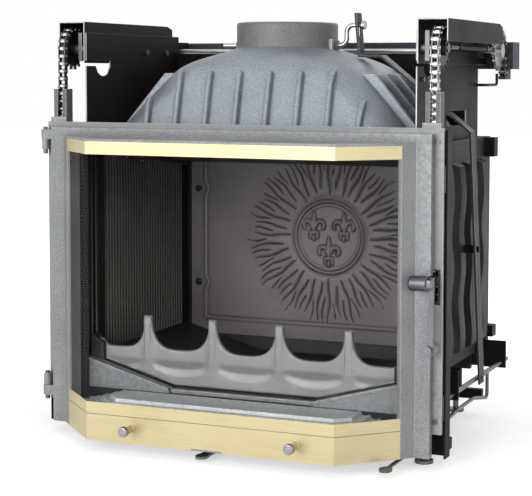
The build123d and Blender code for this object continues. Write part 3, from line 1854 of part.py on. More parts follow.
with BuildPart() as spring_anchors:
    spring_end = spring_front + spring_turns * spring_pitch
    flank = cover_inner + cover_sheet
    for y, way in ((spring_front, -1), (spring_end, 1)):
        face = y + way * (spring_wire + anchor_play)
        block(
            (flank, spring_x + anchor_plate),
            (min(face, face + way * anchor_depth), max(face, face + way * anchor_depth)),
            (spring_z - anchor_plate, spring_z + anchor_plate),
        )
    front_face = spring_front - spring_wire - anchor_play
    rear_face = spring_end + spring_wire + anchor_play
    rod((spring_x, adjuster_front, spring_z), (spring_x, front_face, spring_z), adjuster_radius)
    rod(
        (spring_x, rear_face, spring_z),
        (spring_x, rear_face + anchor_depth + stud_length, spring_z),
        stud_radius,
    )
    with BuildLine() as stop_path:
        FilletPolyline(*stop_points, radius=stop_bend)
    with BuildSketch(Plane(origin=stop_path.line @ 0, z_dir=stop_path.line % 0)) as wire:
        Circle(stop_radius)
    sweep(wire.sketch, path=stop_path.line)
finish("spring_anchors", spring_anchors.part)

# Rods that guide the counterweight, on brackets of the back wall
with BuildPart() as weight_guides:
    for x in (-weight_rod_x, weight_rod_x):
        block(
            (x - guide_bracket_half, x + guide_bracket_half),
            (box_back, weight_y + guide_bracket_half),
            (weight_rod_bottom, weight_rod_bottom + guide_bracket_height),
        )
        rod((x, weight_y, weight_rod_bottom), (x, weight_y, weight_rod_top), weight_rod_radius)
finish("weight_guides", weight_guides.part)

with BuildPart() as plate_bolts:
    plate_outer = plate_inner + side_plate_sheet
    for sign in (-1, 1):
        for y, z in cover_bolts:
            rod(
                (sign * plate_inner, y, z),
                (sign * (plate_inner - small_bolt_head), y, z),
                small_bolt_radius,
            )
        y, z = side_bolt
        rod(
            (sign * plate_outer, y, z),
            (sign * (plate_outer + small_bolt_head), y, z),
            side_bolt_radius,
        )
finish("plate_bolts", plate_bolts.part)
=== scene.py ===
"""Looks of a cast iron fireplace insert with a prism shaped lift-up door.

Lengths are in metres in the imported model's own frame: X to the right, Y to the back, Z up.
Each sub-assembly is a class that builds its surfaces and gives them their finish.
"""

import json
import logging
from collections.abc import Callable, Iterable
from dataclasses import dataclass
from enum import Enum
from math import cos, hypot, pi, radians, sin

import bmesh
import bpy
import numpy as np
from mathutils import Matrix, Vector

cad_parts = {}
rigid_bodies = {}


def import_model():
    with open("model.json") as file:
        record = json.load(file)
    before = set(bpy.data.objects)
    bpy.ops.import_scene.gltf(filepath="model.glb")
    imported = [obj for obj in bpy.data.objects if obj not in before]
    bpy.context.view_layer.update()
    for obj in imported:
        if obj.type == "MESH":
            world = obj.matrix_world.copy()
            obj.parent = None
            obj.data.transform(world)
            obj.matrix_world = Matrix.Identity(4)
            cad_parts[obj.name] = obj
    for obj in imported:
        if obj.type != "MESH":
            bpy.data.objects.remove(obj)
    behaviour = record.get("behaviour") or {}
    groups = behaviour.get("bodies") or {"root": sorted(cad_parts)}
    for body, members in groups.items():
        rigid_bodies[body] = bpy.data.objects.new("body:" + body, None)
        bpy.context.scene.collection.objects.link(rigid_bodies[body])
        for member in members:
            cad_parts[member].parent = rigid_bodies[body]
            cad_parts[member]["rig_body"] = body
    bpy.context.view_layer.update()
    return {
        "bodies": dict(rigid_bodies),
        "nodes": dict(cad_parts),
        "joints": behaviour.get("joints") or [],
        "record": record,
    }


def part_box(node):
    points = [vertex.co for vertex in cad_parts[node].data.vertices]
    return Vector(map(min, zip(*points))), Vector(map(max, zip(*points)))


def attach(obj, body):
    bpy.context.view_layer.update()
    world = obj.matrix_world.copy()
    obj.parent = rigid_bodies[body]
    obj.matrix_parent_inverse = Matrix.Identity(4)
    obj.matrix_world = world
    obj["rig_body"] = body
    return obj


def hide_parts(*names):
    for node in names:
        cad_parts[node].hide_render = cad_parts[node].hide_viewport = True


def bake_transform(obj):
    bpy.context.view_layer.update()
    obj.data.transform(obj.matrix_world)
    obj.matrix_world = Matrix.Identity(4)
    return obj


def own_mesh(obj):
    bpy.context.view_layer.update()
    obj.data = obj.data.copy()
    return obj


LOG = logging.getLogger("fireplace insert")
MM = 0.001
SHARP_ANGLE = 35.0
MERGE_DISTANCE = 1e-6
PACKED_MERGE_DISTANCE = 2e-6
FLAT_ANGLE = 0.4
CUT_EDGE_WIDTHS = (1.75 * MM, 2.7 * MM)
ACROSS = (1.0, 0.0, 0.0)
FORWARD = (0.0, -1.0, 0.0)
UPWARD = (0.0, 0.0, 1.0)
OTHER_SIDE = np.array([-1.0, 1.0, 1.0])

Array = np.ndarray
Colour = tuple[float, float, float]
Point = tuple[float, float, float]
Rows = tuple[tuple[float, ...], ...]
Value = object
Socket = bpy.types.NodeSocket


class Body(Enum):
    """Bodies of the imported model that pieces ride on."""

    FIREBOX = "firebox"
    CARRIER = "carrier"
    DOOR = "door"
    LATCH = "latch"
    WEIGHT = "counterweight"
    SPROCKET_LEFT = "sprocket_l"
    SPROCKET_RIGHT = "sprocket_r"
    REAR_SHAFT = "rear_shaft"
    DAMPER = "damper"
    DAMPER_ARM = "damper_arm"
    DAMPER_ROD = "damper_rod"
    AIR_CONTROL = "air_control"


class Slot(Enum):
    """The record's material slots that new pieces take."""

    CAST = "cast"
    CAST_GREY = "cast_grey"
    SHEET = "sheet_black"
    FRAME = "frame_grey"
    STEEL = "steel"
    DARK_STEEL = "dark_steel"
    BRASS = "brass"


class Effect(Enum):
    """Surface effects that several finishes share, each a node group."""

    SAND_GRAIN = "sand_grain"
    WORN_EDGE_HIGHLIGHT = "rubbed_edge"
    BRUSHING = "brushing"
    PAINTED_TOP_SHADE = "soot"


class NodeSheet:
    """Short calls that add nodes to one shader tree and link them."""

    def __init__(self, tree: bpy.types.NodeTree) -> None:
        """Keeps the tree that the nodes go into."""
        self.tree = tree

    def add(self, kind: str, inputs: dict | None = None, **settings: Value) -> bpy.types.Node:
        """Adds a node.

        Args:
            kind: Blender's name for the node's type.
            inputs: Values or output sockets by the name or number of the input.
            settings: The node's own settings.

        Returns:
            The new node.
        """
        node = self.tree.nodes.new(kind)
        for name, value in settings.items():
            setattr(node, name, value)
        for name, value in (inputs or {}).items():
            if isinstance(value, Socket):
                self.tree.links.new(value, node.inputs[name])
            else:
                node.inputs[name].default_value = value
        return node

    def math(self, operation: str, first: Value, second: Value = 0.0) -> Socket:
        """Adds a node that works one value out from two.

        Args:
            operation: Blender's name for the operation.
            first: The first value, or the socket that gives it.
            second: The second value, or the socket that gives it.

        Returns:
            The result's socket.
        """
        node = self.add("ShaderNodeMath", {0: first, 1: second}, operation=operation)
        return node.outputs[0]

    def noise(self, vector: Value, scale: Value, detail: float = 2.0) -> Socket:
        """Adds a noise.

        Args:
            vector: The place that it's read at.
            scale: How many waves it has in a metre.
            detail: How many finer noises are added to it.

        Returns:
            Its value's socket. The value lies about 0.5.
        """
        node = self.add(
            "ShaderNodeTexNoise", {"Vector": vector, "Scale": scale, "Detail": detail}
        )
        return node.outputs["Fac"]

    def spread(
        self, value: Value, low: Value, high: Value, start: Value = 0.0, end: Value = 1.0
    ) -> Socket:
        """Adds a node that maps one range onto another, and clamps the result to it.

        Args:
            value: The value to map.
            low: The value that gives the start.
            high: The value that gives the end.
            start: The first result.
            end: The last result.

        Returns:
            The result's socket.
        """
        node = self.add(
            "ShaderNodeMapRange",
            {"Value": value, "From Min": low, "From Max": high, "To Min": start, "To Max": end},
        )
        return node.outputs["Result"]

    def blend(self, share: Value, first: Value, second: Value) -> Socket:
        """Adds a mix of two colours.

        Args:
            share: The second colour's share.
            first: The first colour.
            second: The second colour.

        Returns:
            The mix's socket.
        """
        node = self.add(
            "ShaderNodeMix",
            {0: share, 6: padded_colour(first), 7: padded_colour(second)},
            data_type="RGBA",
        )
        return node.outputs[2]

    def scaled(self, colour: Value, share: Value) -> Socket:
        """Adds a colour times a value.

        Args:
            colour: The colour.
            share: The value.

        Returns:
            The product's socket.
        """
        node = self.add(
            "ShaderNodeVectorMath", {0: plain_colour(colour), "Scale": share}, operation="SCALE"
        )
        return node.outputs[0]

    def seen(self) -> Socket:
        """Tells the rays that should meet a white surround from those that light the object.

        Returns:
            One for camera, glossy and transmission rays, and zero for the others.
        """
        path = self.add("ShaderNodeLightPath")
        seen = self.math("MAXIMUM", path.outputs["Is Camera Ray"], path.outputs["Is Glossy Ray"])
        return self.math("MAXIMUM", seen, path.outputs["Is Transmission Ray"])


def padded_colour(colour: Value) -> Value:
    """Gives a plain colour its fourth number, and returns a socket as it is."""
    return (*colour, 1.0) if isinstance(colour, tuple) else colour


def plain_colour(colour: Value) -> Value:
    """Returns three numbers of a plain colour, and a socket as it is."""
    return colour[:3] if isinstance(colour, tuple) else colour


def group_sheet(effect: Effect, inputs: dict[str, str], outputs: Iterable[str]) -> tuple:
    """Starts a node group with named sockets.

    Args:
        effect: Which effect the group makes.
        inputs: Socket types by input name.
        outputs: Names of the outputs, all single values.

    Returns:
        The group, its sheet, and the nodes that stand for its inputs and outputs.
    """
    group = bpy.data.node_groups.new(effect.value, "ShaderNodeTree")
    for name, kind in inputs.items():
        group.interface.new_socket(name, in_out="INPUT", socket_type=kind)
    for name in outputs:
        group.interface.new_socket(name, in_out="OUTPUT", socket_type="NodeSocketFloat")
    sheet = NodeSheet(group)
    return group, sheet, sheet.add("NodeGroupInput"), sheet.add("NodeGroupOutput")


def sand_grain_group() -> bpy.types.NodeTree:
    """Builds the pits, specks and clouds that a sand mould leaves on painted iron.

    The height is a sum of three noises: half a fine one, 0.7 of one at 0.31 of its scale, and
    1.1 of one at 0.06 of its scale.

    Returns:
        The group.
    """
    group, sheet, given, made = group_sheet(
        Effect.SAND_GRAIN,
        {"Vector": "NodeSocketVector", "Grain": "NodeSocketFloat"},
        ("Height", "Speck", "Cloud"),
    )
    vector, grain = given.outputs["Vector"], given.outputs["Grain"]
    fine = sheet.noise(vector, grain, 3.0)
    coarse = sheet.noise(vector, sheet.math("MULTIPLY", grain, 0.31), 2.0)
    lumps = sheet.noise(vector, sheet.math("MULTIPLY", grain, 0.06), 2.0)
    pits = sheet.math("MULTIPLY", coarse, 0.7)
    height = sheet.math("ADD", sheet.math("MULTIPLY", fine, 0.5), pits)
    height = sheet.math("ADD", height, sheet.math("MULTIPLY", lumps, 1.1))
    speck = sheet.spread(fine, 0.38, 0.66)
    cloud = sheet.spread(sheet.noise(vector, 9.0, 5.0), 0.3, 0.7)
    for name, value in (("Height", height), ("Speck", speck), ("Cloud", cloud)):
        sheet.tree.links.new(value, made.inputs[name])
    return group


def worn_edge_highlight_group() -> bpy.types.NodeTree:
    """Builds the mask of sharp corners that are lightened, partly as paint rubbed thin and partly
    as a painted highlight.

    Returns:
        The group.
    """
    group, sheet, given, made = group_sheet(
        Effect.WORN_EDGE_HIGHLIGHT,
        {"Vector": "NodeSocketVector", "Start": "NodeSocketFloat", "End": "NodeSocketFloat"},
        ("Mask",),
    )
    sharp = sheet.add("ShaderNodeNewGeometry").outputs["Pointiness"]
    edge = sheet.spread(sharp, given.outputs["Start"], given.outputs["End"])
    broken = sheet.spread(sheet.noise(given.outputs["Vector"], 120.0, 4.0), 0.35, 0.6)
    sheet.tree.links.new(sheet.math("MULTIPLY", edge, broken), made.inputs["Mask"])
    return group


def brushing_group() -> bpy.types.NodeTree:
    """Builds fine scratches that run along one direction, and slow smears across them.

    Returns:
        The group.
    """
    group, sheet, given, made = group_sheet(
        Effect.BRUSHING,
        {"Vector": "NodeSocketVector", "Stretch": "NodeSocketVector"},
        ("Scratch", "Smear"),
    )
    along = sheet.add(
        "ShaderNodeVectorMath",
        {0: given.outputs["Vector"], 1: given.outputs["Stretch"]},
        operation="MULTIPLY",
    ).outputs[0]
    sheet.tree.links.new(sheet.noise(along, 1.0, 3.0), made.inputs["Scratch"])
    smear = sheet.spread(sheet.noise(given.outputs["Vector"], 14.0, 3.0), 0.3, 0.7)
    sheet.tree.links.new(smear, made.inputs["Smear"])
    return group


def painted_top_shade_group() -> bpy.types.NodeTree:
    """Builds the mask of painted shade, which thickens with height and is broken up by a noise.

    Returns:
        The group.
    """
    group, sheet, given, made = group_sheet(
        Effect.PAINTED_TOP_SHADE,
        {"Vector": "NodeSocketVector", "Low": "NodeSocketFloat", "High": "NodeSocketFloat"},
        ("Mask",),
    )
    parts = sheet.add("ShaderNodeSeparateXYZ", {0: given.outputs["Vector"]})
    ragged = sheet.math("MULTIPLY", sheet.noise(given.outputs["Vector"], 11.0, 4.0), 0.12)
    height = sheet.math("ADD", parts.outputs["Z"], ragged)
    rise = sheet.spread(height, given.outputs["Low"], given.outputs["High"])
    sheet.tree.links.new(rise, made.inputs["Mask"])
    return group


BUILDERS: dict[Effect, Callable[[], bpy.types.NodeTree]] = {
    Effect.SAND_GRAIN: sand_grain_group,
    Effect.WORN_EDGE_HIGHLIGHT: worn_edge_highlight_group,
    Effect.BRUSHING: brushing_group,
    Effect.PAINTED_TOP_SHADE: painted_top_shade_group,
}


def effect_node(sheet: NodeSheet, effect: Effect, inputs: dict) -> bpy.types.Node:
    """Places an effect's group in a material, and builds the group at its first use.

    Args:
        sheet: The material's sheet.
        effect: The effect.
        inputs: Values or output sockets by the name of the group's input.

    Returns:
        The group's node.
    """
    group = bpy.data.node_groups.get(effect.value) or BUILDERS[effect]()
    return sheet.add("ShaderNodeGroup", inputs, node_tree=group)


def blank_material(name: str) -> tuple[bpy.types.Material, NodeSheet, Socket]:
    """Makes an empty material.

    Args:
        name: The finish's name.

    Returns:
        The material, its sheet, and the object's own coordinates.
    """
    material = bpy.data.materials.new(name)
    material.use_nodes = True
    material.node_tree.nodes.clear()
    sheet = NodeSheet(material.node_tree)
    place = sheet.add("ShaderNodeTexCoord").outputs["Object"]
    return material, sheet, place


def show(sheet: NodeSheet, shader: Socket) -> None:
    """Links a shader to the material's output."""
    sheet.add("ShaderNodeOutputMaterial", {"Surface": shader})


@dataclass(frozen=True)
class CastPaint:
    """Stove paint on cast iron, with sand grain, specks, clouds, and edges lightened partly by
    rubbed paint and partly by a painted highlight.

    Painted top shade darkens the paint between its two heights, and painted hollow shade darkens
    the relief's hollows. Crest highlights are sets of painted highlight lines, each given by its
    first flute, its pitch and where it ends. The pattern is moved a little, because a noise is weak
    on the planes where its coordinates are whole numbers.
    """

    name: str
    colour: Colour
    roughness: float = 0.55
    metallic: float = 0.25
    grain: float = 750.0
    relief: float = 0.00035
    speck: float = 0.28
    cloud: float = 0.16
    edge_wear_highlight: float = 0.5
    soot: tuple[float, float] | None = None
    top_shade_colour: Colour = (0.012, 0.011, 0.011)
    crest_highlights: tuple[tuple[float, float, float], ...] = ()
    crest_highlight_colour: Colour = (0.12, 0.12, 0.115)
    hollow_shade: float = 0.0
    gloss: float = 0.5
    unevenness: float = 0.07
    wear_highlight_band: tuple[float, float] = (0.52, 0.6)
    pattern_shift: Point = (0.0137, 0.0091, 0.0053)

    def material(self) -> bpy.types.Material:
        """Builds the material.

        Returns:
            The material.
        """
        material, sheet, place = blank_material(self.name)
        moved = sheet.add("ShaderNodeMapping", {"Vector": place, "Location": self.pattern_shift})
        grain = effect_node(
            sheet, Effect.SAND_GRAIN, {"Vector": moved.outputs[0], "Grain": self.grain}
        )
        start, end = self.wear_highlight_band
        edge = effect_node(
            sheet, Effect.WORN_EDGE_HIGHLIGHT, {"Vector": place, "Start": start, "End": end}
        )
        speck = sheet.spread(grain.outputs["Speck"], 0.0, 1.0, 1.0 - self.speck, 1.0 + self.speck)
        cloud = sheet.spread(grain.outputs["Cloud"], 0.0, 1.0, 1.0 - self.cloud, 1.0 + self.cloud)
        colour = sheet.scaled(self.colour, sheet.math("MULTIPLY", speck, cloud))
        # Sharp edges are lightened: partly rubbed paint, partly a painted highlight.
        bright = tuple(min(1.0, 1.9 * part + 0.02) for part in self.colour)
        worn_highlit_share = sheet.math("MULTIPLY", edge.outputs["Mask"], self.edge_wear_highlight)
        colour = sheet.blend(worn_highlit_share, colour, bright)
        # Painted highlights along the flutes' crests.
        for crest_highlights in self.crest_highlights:
            line = self.crest_highlight_lines(sheet, place, *crest_highlights)
            colour = sheet.blend(line, colour, self.crest_highlight_colour)
        # Painted shade: darker towards the top of the firebox.
        if self.soot is not None:
            soot = effect_node(
                sheet, Effect.PAINTED_TOP_SHADE, {"Vector": place, "Low": self.soot[0], "High": self.soot[1]}
            )
            colour = sheet.blend(soot.outputs["Mask"], colour, self.top_shade_colour)
        # Painted shade in the relief's hollows.
        if self.hollow_shade:
            painted_hollow_shade = sheet.add("ShaderNodeAttribute", attribute_name="painted_hollow_shade").outputs["Fac"]
            colour = sheet.scaled(colour, sheet.spread(painted_hollow_shade, 0.0, 1.0, 1.0, 1.0 - self.hollow_shade))
        smooth, rough = self.roughness - self.unevenness, self.roughness + self.unevenness
        rough = sheet.spread(grain.outputs["Cloud"], 0.0, 1.0, smooth, rough)
        bump = sheet.add(
            "ShaderNodeBump", {"Height": grain.outputs["Height"], "Distance": self.relief}
        )
        shader = sheet.add(
            "ShaderNodeBsdfPrincipled",
            {
                "Base Color": colour,
                "Roughness": rough,
                "Metallic": self.metallic,
                "Specular IOR Level": self.gloss,
                "Normal": bump.outputs[0],
            },
        )
        show(sheet, shader.outputs[0])
        return material

    def crest_highlight_lines(
        self, sheet: NodeSheet, place: Socket, first: float, pitch: float, last: float
    ) -> Socket:
        """Builds the mask of painted highlights on the crests between flutes that repeat along Y.

        A crest lies half way between two flutes, and the mask is one where the distance to it
        is a small share of the pitch.

        Args:
            sheet: The material's sheet.
            place: The object's coordinates.
            first: Depth of the first flute.
            pitch: Distance between flutes.
            last: Depth behind which there are no crests.

        Returns:
            The mask.
        """
        depth = sheet.add("ShaderNodeSeparateXYZ", {0: place}).outputs["Y"]
        turn = sheet.math("DIVIDE", sheet.math("SUBTRACT", depth, first), pitch)
        away = sheet.math("ABSOLUTE", sheet.math("SUBTRACT", sheet.math("FRACT", turn), 0.5))
        line = sheet.spread(away, 0.22, 0.1)
        before = sheet.math("GREATER_THAN", depth, first - 0.6 * pitch)
        behind = sheet.math("LESS_THAN", depth, last)
        return sheet.math("MULTIPLY", line, sheet.math("MULTIPLY", before, behind))


@dataclass(frozen=True)
class BareMetal:
    """Bare metal with brushed scratches along one direction and slow smears."""

    name: str
    colour: Colour
    tarnish: Colour
    roughness: float = 0.3
    stretch: Point = (30.0, 900.0, 900.0)
    relief: float = 0.00004
    metallic: float = 1.0

    def material(self) -> bpy.types.Material:
        """Builds the material.

        Returns:
            The material.
        """
        material, sheet, place = blank_material(self.name)
        brush = effect_node(sheet, Effect.BRUSHING, {"Vector": place, "Stretch": self.stretch})
        scratch, smear = brush.outputs["Scratch"], brush.outputs["Smear"]
        colour = sheet.blend(smear, self.colour, self.tarnish)
        dim = sheet.spread(scratch, 0.25, 0.75, 0.9, 1.06)
        rough = sheet.spread(scratch, 0.2, 0.8, self.roughness - 0.07, self.roughness + 0.1)
        bump = sheet.add("ShaderNodeBump", {"Height": scratch, "Distance": self.relief})
        shader = sheet.add(
            "ShaderNodeBsdfPrincipled",
            {
                "Base Color": sheet.scaled(colour, dim),
                "Roughness": rough,
                "Metallic": self.metallic,
                "Normal": bump.outputs[0],
            },
        )
        show(sheet, shader.outputs[0])
        return material


@dataclass(frozen=True)
class ClearGlass:
    """Clear ceramic glass, which lets the lamps through to what is behind it."""

    name: str
    tint: Colour = (0.99, 0.985, 0.97)

    def material(self) -> bpy.types.Material:
        """Builds the material.

        Returns:
            The material.
        """
        material, sheet, place = blank_material(self.name)
        haze = sheet.spread(sheet.noise(place, 6.0, 4.0), 0.3, 0.75, 0.0, 0.02)
        glass = sheet.add(
            "ShaderNodeBsdfPrincipled",
            {
                "Base Color": padded_colour(self.tint),
                "Roughness": haze,
                "IOR": 1.015,
                "Transmission Weight": 1.0,
            },
        )
        clear = sheet.add("ShaderNodeBsdfTransparent", {"Color": padded_colour(self.tint)})
        path = sheet.add("ShaderNodeLightPath")
        lamp = sheet.math(
            "MAXIMUM", path.outputs["Is Shadow Ray"], path.outputs["Is Diffuse Ray"]
        )
        mixed = sheet.add(
            "ShaderNodeMixShader", {0: lamp, 1: glass.outputs[0], 2: clear.outputs[0]}
        )
        show(sheet, mixed.outputs[0])
        return material


class Finishes:
    """Every finish of the insert, each made once."""

    cards = {
        "hood": CastPaint(
            "hood_paint", (0.25, 0.275, 0.305), roughness=0.5, metallic=0.3, grain=620.0
        ),
        "collar": CastPaint("collar_paint", (0.17, 0.165, 0.168), grain=620.0),
        # Lighter rounded edges: partly rubbed paint, partly a painted highlight.
        "ridge": CastPaint(
            "worn_highlit_ridge", (0.36, 0.365, 0.37), roughness=0.45, relief=0.0001, speck=0.3
        ),
        "door": CastPaint("door_paint", (0.22, 0.227, 0.233), roughness=0.52, metallic=0.3),
        "slide": CastPaint("slide_paint", (0.12, 0.125, 0.132), relief=0.0001, gloss=0.3),
        "frame": CastPaint(
            "lifting_frame_paint", (0.23, 0.237, 0.243), metallic=0.3, relief=0.0002, speck=0.15
        ),
        "retainer": CastPaint(
            "retainer_paint", (0.24, 0.245, 0.255), roughness=0.5, relief=0.0001, speck=0.12
        ),
        # About twice as light as the door's paint: the extra is painted light on steps that the
        # brass band shades.
        "sill": CastPaint("threshold_paint", (0.5, 0.525, 0.55), roughness=0.5, relief=0.0002),
        "back": CastPaint(
            "fireback_paint",
            (0.185, 0.17, 0.18),
            roughness=0.6,
            metallic=0.15,
            speck=0.12,
            relief=0.0002,
            # Painted shade: darker towards the top and in the relief's hollows.
            soot=(0.36, 0.8),
            hollow_shade=0.85,
        ),
        "liner": CastPaint(
            "liner_paint",
            (0.01, 0.01, 0.0085),
            edge_wear_highlight=0.1,
            # Painted shade darker towards the top, and painted highlights along the flutes' crests.
            soot=(0.18, 0.62),
            crest_highlights=((0.09, 0.01, 0.376), (0.0345, 0.013, 0.0735)),
            crest_highlight_colour=(0.27, 0.27, 0.26),
            gloss=0.15,
        ),
        "chamber": CastPaint("chamber_paint", (0.022, 0.024, 0.026), edge_wear_highlight=0.3, gloss=0.25),
        "apron": CastPaint("apron_paint", (0.16, 0.17, 0.183), roughness=0.5, relief=0.0002),
        "wall": CastPaint("wall_paint", (0.014, 0.017, 0.021), metallic=0.0, edge_wear_highlight=0.25, gloss=0.2),
        "sheet": CastPaint(
            "black_sheet",
            (0.012, 0.0102, 0.0092),
            roughness=0.45,
            metallic=0.0,
            relief=0.00005,
            speck=0.1,
            edge_wear_highlight=0.1,
            gloss=0.06,
        ),
        "cut": BareMetal("cut_edge", (0.34, 0.34, 0.34), (0.2, 0.2, 0.2), roughness=0.4),
        "weight": CastPaint("weight_paint", (0.035, 0.042, 0.053), relief=0.0001, gloss=0.25),
        "lever": CastPaint("lever_paint", (0.04, 0.041, 0.044), relief=0.00005, gloss=0.3),
        "steel": BareMetal("bare_steel", (0.5, 0.5, 0.51), (0.33, 0.33, 0.33), roughness=0.3),
        "knob": BareMetal("knob_steel", (0.36, 0.36, 0.38), (0.25, 0.25, 0.26), roughness=0.34),
        "chain": BareMetal("chain_plates", (0.24, 0.23, 0.225), (0.1, 0.095, 0.09), roughness=0.26),
        "roller": BareMetal("chain_rollers", (0.78, 0.77, 0.76), (0.5, 0.49, 0.47), roughness=0.22),
        "black": BareMetal(
            "blackened_steel", (0.05, 0.05, 0.052), (0.03, 0.03, 0.03), roughness=0.42
        ),
        "dark": BareMetal("dark_steel", (0.16, 0.16, 0.17), (0.09, 0.09, 0.1), roughness=0.38),
        "brass": BareMetal(
            "brushed_brass",
            (0.56, 0.485, 0.29),
            (0.52, 0.44, 0.25),
            roughness=0.42,
            stretch=(12.0, 12.0, 700.0),
            metallic=0.7,
        ),
        "glass": ClearGlass("clear_glass"),
    }
    made: dict[str, bpy.types.Material] = {}

    @classmethod
    def get(cls, name: str) -> bpy.types.Material:
        """Looks up a finish's material, and builds it at its first use.

        Args:
            name: The finish's short name.

        Returns:
            The material.
        """
        if name not in cls.made:
            cls.made[name] = cls.cards[name].material()
        return cls.made[name]


class Shell:
    """Collects grids of points and flat outlines into one mesh."""

    def __init__(self) -> None:
        """Starts empty."""
        self.points: list[Array] = []
        self.faces: list = []
        self.tones: list[int] = []
        self.count = 0

    def grid(self, points: Array, around: bool = False, ends: bool = False, tone: int = 0) -> None:
        """Adds a surface through a grid of points.

        Args:
            points: Rows of points, as an array of rows, columns and three numbers.
            around: Whether the last point of a row joins the first.
            ends: Whether the first and last row are closed with a flat face.
            tone: Number of the finish, where a piece has several.
        """
        rows, columns = points.shape[:2]
        index = self.count + np.arange(rows * columns).reshape(rows, columns)
        if ends:
            self.faces.append(index[0].tolist())
            self.faces.append(index[-1, ::-1].tolist())
        if around:
            index = np.concatenate([index, index[:, :1]], axis=1)
        quads = np.stack([index[:-1, :-1], index[:-1, 1:], index[1:, 1:], index[1:, :-1]], axis=-1)
        self.faces.extend(quads.reshape(-1, 4).tolist())
        self.tones.extend([tone] * (len(self.faces) - len(self.tones)))
        self.points.append(points.reshape(-1, 3))
        self.count += rows * columns

    def mirrored(self) -> "Shell":
        """Copies the shell to the other side of the middle plane.

        Returns:
            The copy, with its faces turned so that they still point outwards.
        """
        other = Shell()
        other.points = [points * OTHER_SIDE for points in self.points]
        other.faces = [face[::-1] for face in self.faces]
        other.tones = list(self.tones)
        other.count = self.count
        return other

    def build(
        self, name: str, finish: str, smooth: float = SHARP_ANGLE, *more: str
    ) -> bpy.types.Object:
        """Makes the object, with doubles merged and faces pointing outwards.

        Args:
            name: The piece's name.
            finish: The name of its finish.
            smooth: Faces that meet at less than this angle, in degrees, shade as one.
            more: Names of its further finishes, by tone.

        Returns:
            The new object.
        """
        mesh = bpy.data.meshes.new(name)
        mesh.from_pydata(np.concatenate(self.points).tolist(), [], self.faces)
        mesh.polygons.foreach_set("material_index", self.tones)
        work = bmesh.new()
        work.from_mesh(mesh)
        bmesh.ops.remove_doubles(work, verts=work.verts, dist=MERGE_DISTANCE)
        bmesh.ops.recalc_face_normals(work, faces=work.faces)
        work.to_mesh(mesh)
        work.free()
        return linked(name, mesh, finish, smooth, *more)


def linked(
    name: str, mesh: bpy.types.Mesh, finish: str, smooth: float, *more: str
) -> bpy.types.Object:
    """Puts a mesh into the scene with its finish and its shading.

    Args:
        name: The piece's name.
        mesh: The finished mesh.
        finish: The name of its finish.
        smooth: Faces that meet at less than this angle, in degrees, shade as one.
        more: Names of its further finishes.

    Returns:
        The new object.
    """
    mesh.polygons.foreach_set("use_smooth", np.ones(len(mesh.polygons), bool))
    mesh.set_sharp_from_angle(angle=radians(smooth))
    if len(mesh.materials):
        mesh.materials.clear()
    for one in (finish, *more):
        mesh.materials.append(Finishes.get(one))
    piece = bpy.data.objects.new(name, mesh)
    bpy.context.scene.collection.objects.link(piece)
    return piece


def unit(vectors: Array) -> Array:
    """Scales vectors to a length of one."""
    return vectors / np.linalg.norm(vectors, axis=-1, keepdims=True)


def smoothed(points: Array, count: int) -> Array:
    """Rows of a smooth curve that runs close to the given ones.

    The curve is a cubic B-spline. Each of its rows is a blend of four neighbours, with the
    weights of the uniform cubic basis, and the end rows stand three times so that it meets them.

    Args:
        points: The given rows.
        count: Number of rows wanted.

    Returns:
        The rows of the curve.
    """
    padded = np.concatenate([points[:1], points[:1], points, points[-1:], points[-1:]])
    place = np.linspace(0.0, len(padded) - 3.0, count)
    index = np.minimum(place.astype(int), len(padded) - 4)
    u = (place - index)[:, None]
    first, second = (1.0 - u) ** 3, 3.0 * u**3 - 6.0 * u**2 + 4.0
    weights = (first, second, 1.0 + 3.0 * (u + u**2 - u**3), u**3)
    return sum(weight / 6.0 * padded[index + step] for step, weight in enumerate(weights))


def narrow_faces(mesh: bpy.types.Mesh, least: float, most: float) -> Array:
    """Tells which faces have a width between two limits.

    A face's width is taken as twice its area over its perimeter, which is right for a long strip.

    Args:
        mesh: The mesh.
        least: The smallest width.
        most: The largest width.

    Returns:
        One for each such face, and zero for the others.
    """
    places, ends = np.empty(len(mesh.vertices) * 3), np.empty(len(mesh.edges) * 2, np.int32)
    mesh.vertices.foreach_get("co", places)
    mesh.edges.foreach_get("vertices", ends)
    places, ends = places.reshape(-1, 3), ends.reshape(-1, 2)
    lengths = np.linalg.norm(places[ends[:, 0]] - places[ends[:, 1]], axis=1)
    sides, starts = np.empty(len(mesh.loops), np.int32), np.empty(len(mesh.polygons), np.int32)
    mesh.loops.foreach_get("edge_index", sides)
    mesh.polygons.foreach_get("loop_start", starts)
    areas = np.empty(len(mesh.polygons))
    mesh.polygons.foreach_get("area", areas)
    width = 2.0 * areas / np.add.reduceat(lengths[sides], starts)
    return ((width > least) & (width < most)).astype(np.int32)


def turned(profile: Array, start: Point, direction: Point, count: int) -> Array:
    """Turns a profile about an axis.

    Args:
        profile: Radius and distance along the axis, one row each.
        start: The point of the axis from which the distances run.
        direction: The axis.
        count: Number of points round the axis.

    Returns:
        A grid with one row of points round the axis for each profile point.
    """
    axis = unit(np.array(direction, float))
    side = unit(np.cross(axis, UPWARD if abs(axis[2]) < 0.9 else ACROSS))
    other = np.cross(axis, side)
    angle = np.linspace(0.0, 2.0 * pi, count, endpoint=False)
    ring = np.cos(angle)[:, None] * side + np.sin(angle)[:, None] * other
    along = np.array(start) + profile[:, 1:] * axis
    return along[:, None, :] + profile[:, :1, None] * ring[None, :, :]


def rounded_step(radius: float, count: int = 4) -> tuple[Array, Array]:
    """Steps of a rounded edge.

    Args:
        radius: The edge's radius.
        count: Number of steps from the face to the rim.

    Returns:
        How far each point of the edge stands in, and how far it stands back.
    """
    angle = np.linspace(0.0, pi / 2.0, count + 1)
    return radius * (1.0 - np.sin(angle)), radius * (1.0 - np.cos(angle))


